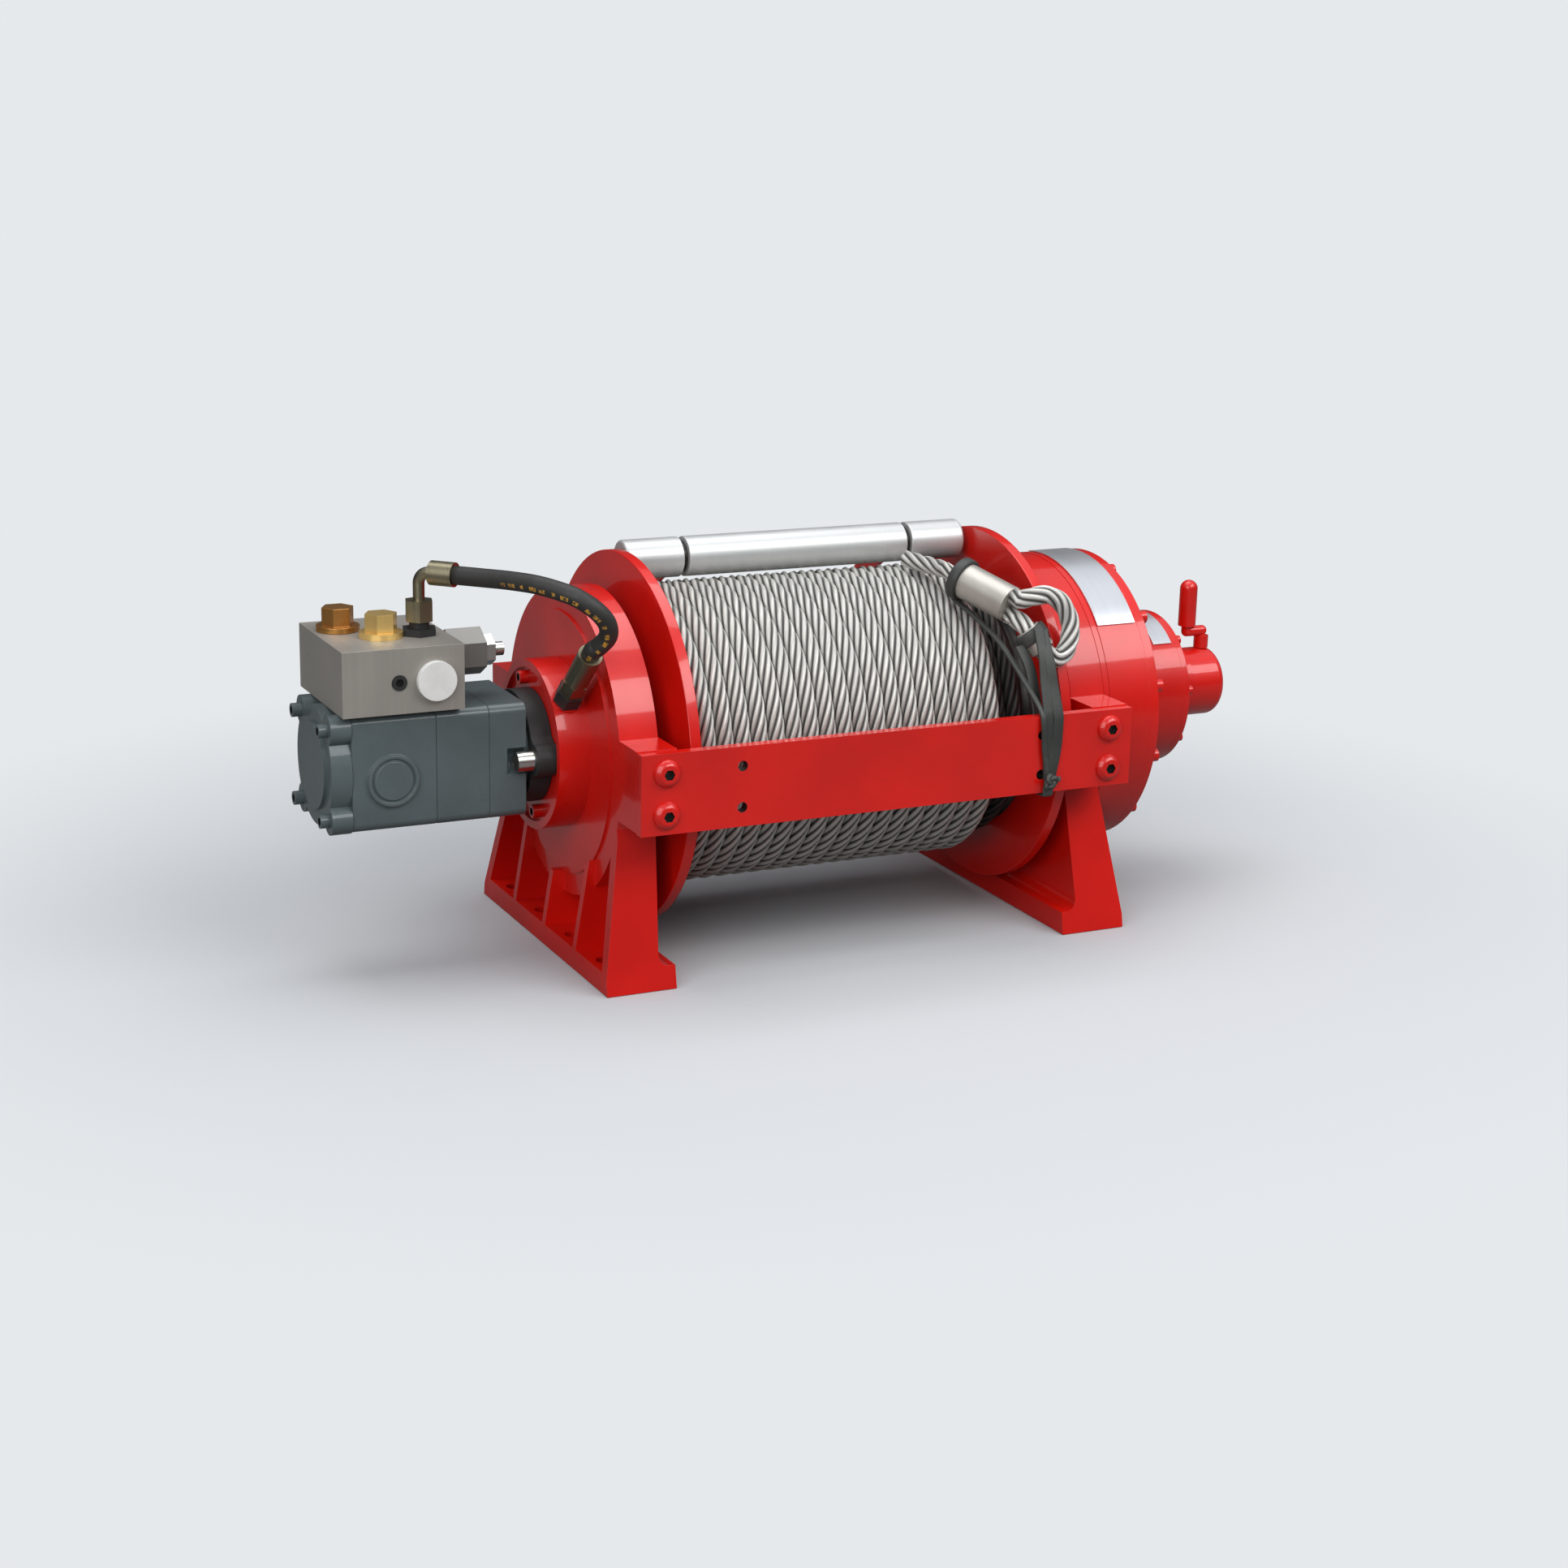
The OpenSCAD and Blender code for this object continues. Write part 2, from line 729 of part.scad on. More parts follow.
// Rope tail: x of each point from the drum flange at the gearbox end, y, and height over the rope layer.
tail_steps = 4;
tail_sides = 8;
tail_points = [[-79, -8, 8.4], [-74, -24, 7.4], [-69.5, -41, 7]];
tail_ferrule_from = [-60.5, -71.8, 2.6];
tail_ferrule_to = [-35, -124, -14.8];
tail_ferrule_r = 16.5;
eye_steps = 4;
eye_rope_r = 8.6;
eye_leg_offset = 8.9;
eye_points = [
    [-20, -138, -5.8], [-7, -140, -4.8], [5, -144, -11.8], [12, -149, -28.8],
    [8, -155, -45.8], [-2, -157, -58.3], [-14, -150, -52.8], [-27.5, -140, -32.8]
];
sleeve_from = 6;
sleeve_in = 1.5;
sleeve_r = 11.4;
sleeve_gap = 1.2;

// Strap: x from the same flange, distance behind the front of the bar and height over the top of the bar.
strap_t = 3;
strap_w = 10;
strap_thin_w = 5;
strap_steps = 3;
strap_ring_w = 12;
strap_ring_in = 1;
strap_wrap_from = 1;
strap_wrap_w = 10;
strap_a_lift = [-1, -12.4, 9.3];
strap_a_points = [
    [-24, 16.2, 50], [-25, 9.8, 29], [-25.5, 2.8, 9], [-26, 0, -4], [-25, 0, -31], [-23, 0, -58]
];
strap_b_lift = [3, -12.6, 7.5];
strap_b_points = [
    [-18, 14.2, 46], [-16, 7.8, 24], [-14, 0.4, 2], [-14, -0.6, -10], [-15, -0.6, -31], [-22, -0.6, -58]
];
strap_c_lift = [-5.5, -3.4, -18.6];
strap_c_points = [
    [-56, 74.8, 72], [-47, 47.8, 54], [-38, 20.8, 26], [-32, 3.8, 6], [-31, -1.2, -6],
    [-29, -1.2, -31], [-24, -1.2, -58]
];
strap_knot = [-23, -2, -58];
strap_knot_r = 8;
strap_under_points = [[-23, 0, 4], [-23, 0.6, -1.9], [-23, 6.8, -2.3]];
strap_back_points = [
    [-23, -0.6, -71.9], [-23, 0, -66], [-25, 0, -36], [-28, 0, -6], [-30.5, 4, 18], [-32.5, 12, 40]
];
strap_back_lift = [-14.4, -4.3, -7.4];

module motor_body_outline() { polygon(round_rect(motor_side, motor_side, motor_corner_r)); }

module motor_flange() {
    color(flange_black) difference() {
        union() {
            across(-motor_body, motor_flange_t) {
                circle(r = flange_body_r);
                polygon([
                    [-motor_screw_pitch / 2, -ear_r], [0, -flange_body_r], [motor_screw_pitch / 2, -ear_r],
                    [motor_screw_pitch / 2, ear_r], [0, flange_body_r], [-motor_screw_pitch / 2, ear_r]
                ]);
                for (s = [-1, 1]) translate([s * motor_screw_pitch / 2, 0]) circle(r = ear_r);
            }
            disc(-motor_face, pilot_l, pilot_r);
        }
        disc(-motor_body - overrun, motor_flange_t + pilot_l + 2 * overrun, shaft_seal_r);
        for (s = [-1, 1])
            at_angle(-motor_body - overrun, motor_screw_pitch / 2, s * 90)
                cylinder(h = motor_flange_t + 2 * overrun, d = motor_screw_d + 2 * fit);
    }
}

module motor_bearing_housing() {
    // A square body that stands off the mounting flange on a round neck.
    color(cast_grey) difference() {
        union() {
            across(-gear_set_x, motor_front_l - motor_neck_l) motor_body_outline();
            disc(-gear_set_x, motor_front_l, motor_neck_r);
        }
        disc(-gear_set_x - overrun, motor_front_l + 2 * overrun, shaft_d / 2 + fit);
        for (a = [-90, 90])
            at_angle(-motor_body - notch_l, motor_screw_pitch / 2, a)
                cylinder(h = notch_l + overrun, r = notch_r);
    }
}

module motor_gerotor_set() {
    // Lobed ring with its star, both between the housings.
    color(cast_grey) {
        across(-port_x, motor_gear_l) {
            difference() {
                motor_body_outline();
                circle(r = gerotor_r);
            }
            for (i = [0 : gerotor_lobes - 1])
                rotate(360 * i / gerotor_lobes) translate([gerotor_r, 0]) circle(r = gerotor_lobe_r);
        }
        across(-port_x, motor_gear_l) difference() {
            union() {
                circle(r = star_r);
                for (i = [0 : gerotor_lobes - 2])
                    rotate(360 * i / (gerotor_lobes - 1)) translate([star_r, 0]) circle(r = star_lobe_r);
            }
            circle(r = shaft_d / 2 + fit);
        }
    }
}

module motor_port_housing() {
    color(cast_grey) {
        across(-end_cover_x, motor_port_l) motor_body_outline();
        translate([-port_x - boss_x_share * motor_port_l, -motor_side / 2, axis_height - boss_drop_z])
            rotate([90, 0, 0]) difference() {
                cylinder(h = boss_t, r = boss_r);
                translate([0, 0, boss_t - boss_groove]) difference() {
                    cylinder(h = boss_t, r = boss_groove_r + boss_groove);
                    translate([0, 0, -overrun]) cylinder(h = boss_t, r = boss_groove_r);
                }
            }
        translate([-end_cover_x, -pad_w / 2, axis_height + motor_side / 2]) cube([pad_l, pad_w, pad_h]);
    }
}

end_screw_c = motor_side / 2 - end_lobe_inset;
module motor_end_cover() {
    color(cast_grey) difference() {
        union() {
            across(-motor_end, motor_end_t) {
                circle(r = end_disc_r);
                square(2 * end_screw_c, center = true);
                for (i = [-1, 1], j = [-1, 1])
                    translate([i * end_screw_c, j * end_screw_c]) circle(r = end_lobe_r);
            }
            disc(-motor_end - end_dome_t, end_dome_t, end_dome_r);
        }
        for (i = [-1, 1], j = [-1, 1])
            translate([-motor_end - overrun, i * end_screw_c, axis_height + j * end_screw_c])
                rotate([0, 90, 0]) cylinder(h = motor_end_t + 2 * overrun, d = end_screw_d + 2 * fit);
    }
}

module motor_screws() {
    color(steel) {
        for (a = [-90, 90])
            screw_at(-motor_body, motor_screw_pitch / 2, a, -1)
                socket_screw(motor_screw_d, motor_head_l, motor_flange_t + motor_screw_depth);
        for (a = brake_screw_angles)
            screw_at(-motor_face, brake_screw_r, a, -1)
                socket_screw(brake_screw_d, brake_screw_d, motor_face - bracket_out + brake_screw_depth);
        for (i = [-1, 1], j = [-1, 1])
            translate([-motor_end, i * end_screw_c, axis_height + j * end_screw_c])
                rotate([0, -90, 0]) socket_screw(end_screw_d, end_screw_d, motor_end_t);
    }
}

module motor_shaft() { color(steel) disc(-motor_shaft_out, motor_shaft_out - shaft_joint_x, shaft_d / 2); }

// Valve block on top of the motor
module block_face(x, y, z) { translate([x, y, z]) rotate([90, 0, 0]) children(); }
module valve_block() {
    color(block_brown) difference() {
        translate([block_x0, block_y0, block_z0]) cube([block_l, block_w, block_h]);
        for (p = [plug_rear, plug_front, adapter_at])
            translate([p[0], p[1], block_top - plug_depth])
                cylinder(h = plug_depth + overrun, r = plug_shank_r + fit);
        block_face(cap_at[0], block_y0 + cap_depth, cap_at[1])
            cylinder(h = cap_depth + overrun, r = cap_shank_r + fit);
        block_face(socket_at[0], block_y0 + socket_plug_l, socket_at[1])
            cylinder(h = socket_plug_l + overrun, r = socket_plug_r + fit);
        translate([block_x1 - plug_depth, relief_at[0], relief_at[1]]) rotate([0, 90, 0])
            cylinder(h = plug_depth + overrun, r = plug_shank_r + fit);
    }
}
module hex_plug(shade) {
    color(shade) translate([0, 0, block_top]) {
        cylinder(h = plug_washer_t, r = plug_washer_r);
        translate([0, 0, plug_washer_t]) hexagon(plug_af, plug_hex_h);
        translate([0, 0, -plug_depth + seat]) cylinder(h = plug_depth - seat, r = plug_shank_r);
    }
}
module port_plug_rear() { translate([plug_rear[0], plug_rear[1], 0]) hex_plug(dull_gold); }
module port_plug_front() { translate([plug_front[0], plug_front[1], 0]) hex_plug(bright_gold); }
module relief_valve() {
    color(steel) translate([block_x1, relief_at[0], relief_at[1]]) rotate([0, 90, 0]) {
        translate([0, 0, seat - plug_depth]) cylinder(h = plug_depth - seat, r = plug_shank_r);
        hexagon(relief_af, relief_body_l);
        translate([0, 0, relief_body_l]) hexagon(relief_nut_af, relief_nut_l);
        translate([0, 0, relief_body_l + relief_nut_l]) cylinder(h = relief_screw_l, r = relief_screw_r);
    }
}
module block_socket_plug() {
    color(dark_steel) block_face(socket_at[0], block_y0 + socket_plug_l - seat, socket_at[1]) difference() {
        cylinder(h = socket_plug_l - seat + overrun, r = socket_plug_r);
        translate([0, 0, socket_plug_l / 2]) hexagon(socket_plug_r, socket_plug_l);
    }
}
module block_port_cap() {
    color(cap_white) block_face(cap_at[0], block_y0, cap_at[1]) {
        cylinder(h = cap_t, r = cap_r);
        translate([0, 0, seat - cap_depth]) cylinder(h = cap_depth - seat, r = cap_shank_r);
    }
}

// Hose from the block to the brake
module at_elbow() {
    translate([adapter_at[0], adapter_at[1], block_top]) rotate([0, 0, -elbow_turn]) children();
}
module hose_adapters() {
    color(dark_steel) {
        at_elbow() {
            translate([0, 0, seat - plug_depth]) cylinder(h = plug_depth - seat, r = plug_shank_r);
            hexagon(adapter_af, adapter_hex_h);
            translate([0, 0, adapter_hex_h]) cylinder(h = adapter_neck_h, r = adapter_neck_r);
        }
        at_brake_port() {
            translate([0, 0, brake_bore_r + port_spot])
                cylinder(h = brake_r - brake_bore_r, r = brake_port_r);
            translate([0, 0, brake_r + port_spot]) hexagon(brake_adapter_af, brake_adapter_h);
        }
    }
}
module swivel_elbow() {
    color(olive_zinc) at_elbow() {
        translate([0, 0, adapter_hex_h + adapter_neck_h]) hexagon(elbow_nut_af, elbow_nut_h);
        translate([0, 0, adapter_hex_h + adapter_neck_h + elbow_nut_h])
            cylinder(h = elbow_rise - elbow_bend - adapter_hex_h - adapter_neck_h - elbow_nut_h,
                r = elbow_r);
        translate([elbow_bend, 0, elbow_rise - elbow_bend]) rotate([90, 0, 0]) rotate([0, 0, 90])
            rotate_extrude(angle = 90) translate([elbow_bend, 0]) circle(r = elbow_r);
        translate([elbow_bend, 0, elbow_rise]) rotate([0, 90, 0])
            cylinder(h = ferrule_from - elbow_bend, r = elbow_r);
    }
}
module hose_ferrules() {
    color(olive_zinc) {
        at_elbow() translate([ferrule_from, 0, elbow_rise]) rotate([0, 90, 0])
            cylinder(h = ferrule_to - ferrule_from, r = hose_d / 2 + ferrule_wall);
        at_brake_port() translate([0, 0, brake_r + port_spot + brake_adapter_h]) {
            hexagon(brake_nut_af, brake_nut_h);
            translate([0, 0, brake_nut_h])
                cylinder(h = brake_hose_r - brake_r - port_spot - brake_adapter_h - brake_nut_h,
                    r = hose_d / 2 + ferrule_wall);
        }
    }
}

// A smooth curve through points: each span is cut in equal steps of its parameter.
function blend(a, b, c, d, t) = (2 * b + (c - a) * t + (2 * a - 5 * b + 4 * c - d) * t * t
    + (3 * b - a - 3 * c + d) * t * t * t) / 2;
function through(p, steps) = concat(
    [for (i = [0 : len(p) - 2], k = [0 : steps - 1])
        blend(i > 0 ? p[i - 1] : 2 * p[0] - p[1], p[i], p[i + 1],
            i + 2 < len(p) ? p[i + 2] : 2 * p[i + 1] - p[i], k / steps)],
    [p[len(p) - 1]]
);

hose_start = [adapter_at[0] + ferrule_to * cos(elbow_turn), adapter_at[1] - ferrule_to * sin(elbow_turn),
    block_top + elbow_rise];
hose_start_way = [cos(elbow_turn), -sin(elbow_turn), 0];
hose_end_way = [0, -sin(brake_port_angle), cos(brake_port_angle)];
hose_end = [-brake_port_x, 0, axis_height] + brake_hose_r * hose_end_way;
// Each bend: its share of the way from start to end, and its offset from that point of the straight line.
hose_bends = [for (i = [0 : len(hose_offsets) - 1])
    hose_start + hose_shares[i] * (hose_end - hose_start) + hose_offsets[i]];
hose_path = concat([hose_start + seat * hose_start_way],
    through(concat([hose_start + hose_lead * hose_start_way], hose_bends,
        [hose_end + hose_lead * hose_end_way]), hose_steps),
    [hose_end + seat * hose_end_way]);
module brake_hose() {
    color(rubber_black)
        tube(hose_path, carried(tangents(hose_path), [0, 0, 1]), hose_d / 2, hose_sides);
}

// Gears with involute flanks, drawn through three points on each side of a tooth.
function inv(a) = tan(a) * 180 / PI - a;
function half_tooth(pitch_r, teeth, r, play) =
    let (base = pitch_r * cos(pressure))
    90 / teeth - play / (4 * pitch_r) * 180 / PI + inv(pressure) - (r > base ? inv(acos(base / r)) : 0);
function polar(r, a) = [r * cos(a), r * sin(a)];
function tooth_row(m, teeth, radii, phase, play) =
    let (pitch_r = m * teeth / 2)
    [for (i = [0 : teeth - 1], k = [0 : 2 * len(radii) - 1])
        let (low = k < len(radii), r = low ? radii[k] : radii[2 * len(radii) - 1 - k])
        polar(r, phase + 360 * i / teeth + (low ? -1 : 1) * half_tooth(pitch_r, teeth, r, play))];
module outer_gear(m, teeth, phase) {
    pitch_r = m * teeth / 2;
    base = pitch_r * cos(pressure);
    root = pitch_r - dedendum_share * m;
    polygon(tooth_row(m, teeth, [root, max(base, root) + gear_step, pitch_r, pitch_r + addendum_share * m],
        phase, gear_play));
}
module inner_gear(m, teeth) {
    pitch_r = m * teeth / 2;
    polygon(tooth_row(m, teeth, [pitch_r - addendum_share * m, pitch_r, pitch_r + dedendum_share * m],
        0, -gear_play));
}
ring_teeth = sun_teeth + 2 * planet_teeth;
low_radius = low_module * (sun_teeth + planet_teeth) / 2;
high_radius = high_module * (sun_teeth + planet_teeth) / 2;
planet_phase = 180 + 180 / planet_teeth;

// Shafts and drum
high_planet_end = high_planet_x + high_planet_l;
module input_shaft() {
    color(steel) {
        disc(shaft_gap - shaft_joint_x, shaft_joint_x - shaft_gap + high_planet_x, shaft_d / 2);
        on_axis(high_planet_x) linear_extrude(height = high_planet_l) outer_gear(high_module, sun_teeth, 0);
        disc(high_planet_end, small_cover_x - high_planet_end + small_cover_t / 2, shaft_tip_r);
    }
}

winding_r = barrel_r + rope_d / 2 + (rope_layers - 1) * layer_step;
winding_out_r = winding_r + rope_d / 2;
first_turn_x = rope_side_gap + rope_d / 2 - flange_in;
// The outer layer ends at a whole step of its turn. Its chords dip below its radius between the steps.
turn_room = 2 * flange_in - rope_side_gap - rope_d - outer_bare;
turn_count = floor(turn_room * rings_per_turn / turn_pitch);
last_turn_x = first_turn_x + turn_count * turn_pitch / rings_per_turn;
core_step_x = last_turn_x + rope_d / 2 + overrun;
core_r = winding_r * cos(180 / rings_per_turn) - rope_d / 2 - core_gap;

module drum() {
    color(paint_red) difference() {
        union() {
            disc(-flange_in, 2 * flange_in, barrel_r);
            for (s = [-1, 1]) {
                disc(s > 0 ? flange_in : -flange_out, flange_t, flange_r);
                disc(s > 0 ? flange_in : -journal_end, journal_end - flange_in, journal_r);
            }
        }
        disc(-flange_in, 2 * flange_in, barrel_r - barrel_wall);
        disc(-journal_end - overrun, journal_end, left_journal_bore_r);
        disc(0, journal_end + overrun, carrier_neck_r + fit);
    }
}
module rope_core() {
    color(rope_grey) difference() {
        union() {
            disc(-flange_in, flange_in + core_step_x, core_r);
            disc(core_step_x, flange_in - core_step_x, barrel_r + rope_d + (rope_layers - 2) * layer_step);
        }
        disc(-flange_in - overrun, 2 * flange_in + 2 * overrun, barrel_r);
    }
}

// Outer layer of rope: one tube, with a straight end at each side.
function turn_angle(i) = first_turn_angle + 360 * i / rings_per_turn;
function turn_point(i) = let (p = around(winding_r, turn_angle(i)))
    [first_turn_x + turn_pitch * i / rings_per_turn, p[0], axis_height + p[1]];
function turn_radial(i) = let (p = around(1, turn_angle(i))) [0, p[0], p[1]];
turn_points = [for (i = [0 : turn_count]) turn_point(i)];
winding_path = concat(
    [turn_points[0] - rope_d * unit(turn_points[1] - turn_points[0])],
    turn_points,
    [turn_points[turn_count] + rope_d * unit(turn_points[turn_count] - turn_points[turn_count - 1])]
);
winding_normals = [for (i = [-1 : turn_count + 1]) turn_radial(max(0, min(turn_count, i)))];
module rope_winding() {
    color(rope_grey) tube(winding_path, winding_normals, rope_d / 2, form_sides);
    echo(rope_winding_least_gap = least_gap(winding_path, rings_per_turn, rope_d));
}
// Least gap of a wound tube to itself, measured between the points of turns that lie side by side.
function least_gap(p, count, d) = min([
    for (i = [0 : len(p) - 1 - count / 2], j = [i + count / 2 : min(len(p) - 1, i + 3 * count / 2)])
        norm(p[i] - p[j])
]) - d;

module drum_bushes() {
    color(bronze) for (s = [-1, 1])
        ring(s > 0 ? bracket_in : -bracket_in - bush_l + overrun, bush_l - overrun,
            journal_r + bush_wall, journal_r + fit);
}

// Gearbox: two planetary stages, each with a fixed ring gear.
module housing_holes(x, l) {
    for (i = [0 : housing_screw_count - 1])
        at_angle(x, housing_screw_r, (i + 1 / 2) * 360 / housing_screw_count)
            cylinder(h = l, d = housing_screw_d + 2 * fit);
}
module low_ring_gear() {
    color(paint_red) difference() {
        union() {
            disc(bracket_out, seam_x, gear_r);
            disc(bracket_out + seam_x, seam_w, gear_r - seam_depth);
            disc(bracket_out + seam_x + seam_w, gear_l - seam_x - seam_w, gear_r);
        }
        on_axis(bracket_out - overrun) linear_extrude(height = gear_l + 2 * overrun)
            inner_gear(low_module, ring_teeth);
        housing_holes(bracket_out - overrun, gear_l + 2 * overrun);
    }
}
module gearbox_cover() {
    color(paint_red) difference() {
        disc(cover_x, cover_t, gear_r);
        disc(cover_x - overrun, cover_t + 2 * overrun, cover_bore_r);
        housing_holes(cover_x - overrun, cover_t + 2 * overrun);
        small_holes(small_gear_x - small_screw_depth, small_screw_depth + overrun);
    }
}
module small_holes(x, l) {
    for (i = [0 : small_screw_count - 1])
        at_angle(x, small_screw_r, small_screw_turn + i * 360 / small_screw_count)
            cylinder(h = l, d = small_screw_d + 2 * fit);
}
module housing_screws() {
    color(paint_red) {
        for (i = [0 : housing_screw_count - 1])
            screw_at(small_gear_x, housing_screw_r, (i + 1 / 2) * 360 / housing_screw_count, 1)
                socket_screw(housing_screw_d, housing_screw_d, cover_t + gear_l + housing_screw_depth);
        for (i = [0 : small_screw_count - 1])
            screw_at(clutch_x, small_screw_r, small_screw_turn + i * 360 / small_screw_count, 1)
                socket_screw(small_screw_d, small_screw_d,
                    small_cover_t + small_gear_l + small_screw_depth - 2 * overrun);
    }
}
module planet_places(radius) {
    for (i = [0 : planets - 1]) rotate([0, 0, 360 * i / planets]) translate([radius, 0, 0]) children();
}
module low_carrier() {
    color(steel) {
        difference() {
            union() {
                disc(bracket_in - neck_reach, neck_reach + housing_t + plate_gap, carrier_neck_r);
                disc(low_plate_x, carrier_plate_t, low_plate_r);
            }
            disc(bracket_in - neck_reach - overrun, low_plate_x, carrier_bore_r);
        }
        on_axis(low_plate_x + carrier_plate_t) planet_places(low_radius)
            cylinder(h = low_pin_l, r = low_pin_r);
        ring(low_plate_x + carrier_plate_t + low_pin_l, end_plate_t, low_plate_r, low_plate_r / 2);
    }
}
module planet(x, l, m, radius, bore, i) {
    color(dark_steel) on_axis(x) rotate([0, 0, 360 * i / planets]) translate([radius, 0, 0])
        linear_extrude(height = l) difference() {
            outer_gear(m, planet_teeth, planet_phase);
            circle(r = bore);
        }
}
module low_planet(i) { planet(low_planet_x, low_planet_l, low_module, low_radius, low_pin_r + fit, i); }
module low_planet_1() { low_planet(0); }
module low_planet_2() { low_planet(1); }
module low_planet_3() { low_planet(2); }
module high_ring_gear() {
    color(paint_red) difference() {
        disc(small_gear_x, small_gear_l, small_gear_r);
        on_axis(small_gear_x - overrun) linear_extrude(height = small_gear_l + 2 * overrun)
            inner_gear(high_module, ring_teeth);
        small_holes(small_gear_x - overrun, small_gear_l + 2 * overrun);
    }
}
module high_cover() {
    color(paint_red) difference() {
        union() {
            disc(small_cover_x, small_cover_t, small_gear_r);
            disc(small_cover_x - cover_boss_l, cover_boss_l, cover_boss_r);
        }
        disc(small_cover_x - cover_boss_l - overrun, cover_boss_l + small_cover_t + 2 * overrun,
            shaft_tip_r + fit);
        small_holes(small_cover_x - overrun, small_cover_t + 2 * overrun);
    }
}
module high_carrier() {
    color(steel) {
        difference() {
            union() {
                on_axis(low_planet_x) linear_extrude(height = low_planet_l)
                    outer_gear(low_module, sun_teeth, 0);
                disc(low_planet_x + low_planet_l, high_plate_x - low_planet_x - low_planet_l, sun_neck_r);
                disc(high_plate_x, carrier_plate_t, high_plate_r);
            }
            disc(low_planet_x - overrun, high_planet_x, sun_bore_r);
        }
        on_axis(high_plate_x + carrier_plate_t) planet_places(high_radius)
            cylinder(h = high_pin_l, r = high_pin_r);
        ring(high_plate_x + carrier_plate_t + high_pin_l, end_plate_t, high_plate_r, sun_bore_r);
    }
}
module high_planet(i) {
    planet(high_planet_x, high_planet_l, high_module, high_radius, high_pin_r + fit, i);
}
module high_planet_1() { high_planet(0); }
module high_planet_2() { high_planet(1); }
module high_planet_3() { high_planet(2); }

// Clutch: turning the lever pushes the plunger with a cam.
lever_x = clutch_end - lever_inset;
plunger_l = lever_x + cam_offset - cam_r - seat - clutch_x - plunger_gap;
module clutch_housing() {
    color(paint_red) difference() {
        on_axis(clutch_x) union() {
            cylinder(h = clutch_step_l, r = clutch_r + clutch_step);
            rotate_extrude() {
                square([clutch_r, clutch_l - clutch_round]);
                square([clutch_r - clutch_round, clutch_l]);
                translate([clutch_r - clutch_round, clutch_l - clutch_round]) circle(r = clutch_round);
            }
        }
        disc(clutch_x - overrun, clutch_l - cam_room_l, plunger_r + fit);
        disc(clutch_end - clutch_wall - cam_room_l, cam_room_l, cam_room_r);
        translate([lever_x, 0, axis_height]) cylinder(h = clutch_r + overrun, r = lever_r + fit);
    }
}
module clutch_plunger() { color(steel) disc(clutch_x + plunger_gap, plunger_l, plunger_r); }
module clutch_lever() {
    color(dark_steel) translate([lever_x, 0, axis_height]) {
        translate([cam_offset, 0, -cam_low]) cylinder(h = cam_low + cam_high, r = cam_r);
        translate([0, 0, cam_high]) cylinder(h = clutch_r + crank_rise - cam_high, r = lever_r);
        translate([0, 0, clutch_r + seat]) cylinder(h = crank_rise - crank_h / 2, r = lever_hub_r);
        translate([0, 0, clutch_r + crank_rise]) {
            sphere(r = crank_h / 2);
            rotate([0, -90, 0]) cylinder(h = crank_l, r = crank_h / 2);
            translate([-crank_l, 0, 0]) sphere(r = crank_h / 2);
            translate([-crank_l, 0, 0]) cylinder(h = lever_h - crank_rise - grip_l + grip_r, r = crank_h / 2);
            translate([-crank_l, 0, lever_h - crank_rise - grip_l]) {
                cylinder(h = grip_l - grip_r, r = grip_r);
                translate([0, 0, grip_l - grip_r]) sphere(r = grip_r);
            }
        }
    }
}

module plate_round(x, l, r, a0, a1) {
    on_axis(x) rotate([0, 0, 180 + a0]) rotate_extrude(angle = a1 - a0)
        translate([r, 0]) square([plate_t, l]);
}
module nameplates() {
    color(satin_silver) {
        plate_round(cover_x - plate_in, plate_l, gear_r + seat, plate_angles[0], plate_angles[1]);
        plate_round(small_cover_x - small_plate_in, small_plate_l, small_gear_r + seat,
            small_plate_angles[0], small_plate_angles[1]);
    }
}

// Rope press: three rollers on a sprung frame that rests over the rope.
roller_dist = winding_out_r + roller_r + roller_rope_gap;
roller_end_x = flange_in - roller_end_gap;
arm_x = (arm_pitch - arm_t) / 2;
arm_out = (arm_pitch + arm_t) / 2;
pivot_y = bar_y + bar_t + pivot_back;
module at_roller(x) {
    p = around(roller_dist, -roller_angle);
    translate([x, p[0], axis_height + p[1]]) rotate([0, 90, 0]) children();
}
module at_pivot(x) { translate([x, pivot_y, axis_height + pivot_rise]) rotate([0, 90, 0]) children(); }
module roller(x, l, closed) {
    // A tube with round corners. A closed roller has an end wall at its far side.
    color(satin_silver) difference() {
        at_roller(x) rotate_extrude() {
            square([roller_r, l - (closed ? roller_round : 0)]);
            square([roller_r - roller_round, l]);
            if (closed) translate([roller_r - roller_round, l - roller_round]) circle(r = roller_round);
        }
        at_roller(x - overrun)
            cylinder(h = l + (closed ? overrun - roller_wall : 2 * overrun), r = roller_shaft_r + fit);
    }
}
module roller_centre() { roller(-arm_x + arm_gap, 2 * (arm_x - arm_gap), false); }
module roller_right() { roller(arm_out + arm_gap, roller_end_x - arm_out - arm_gap, true); }
module roller_left() { mirror([1, 0, 0]) roller_right(); }
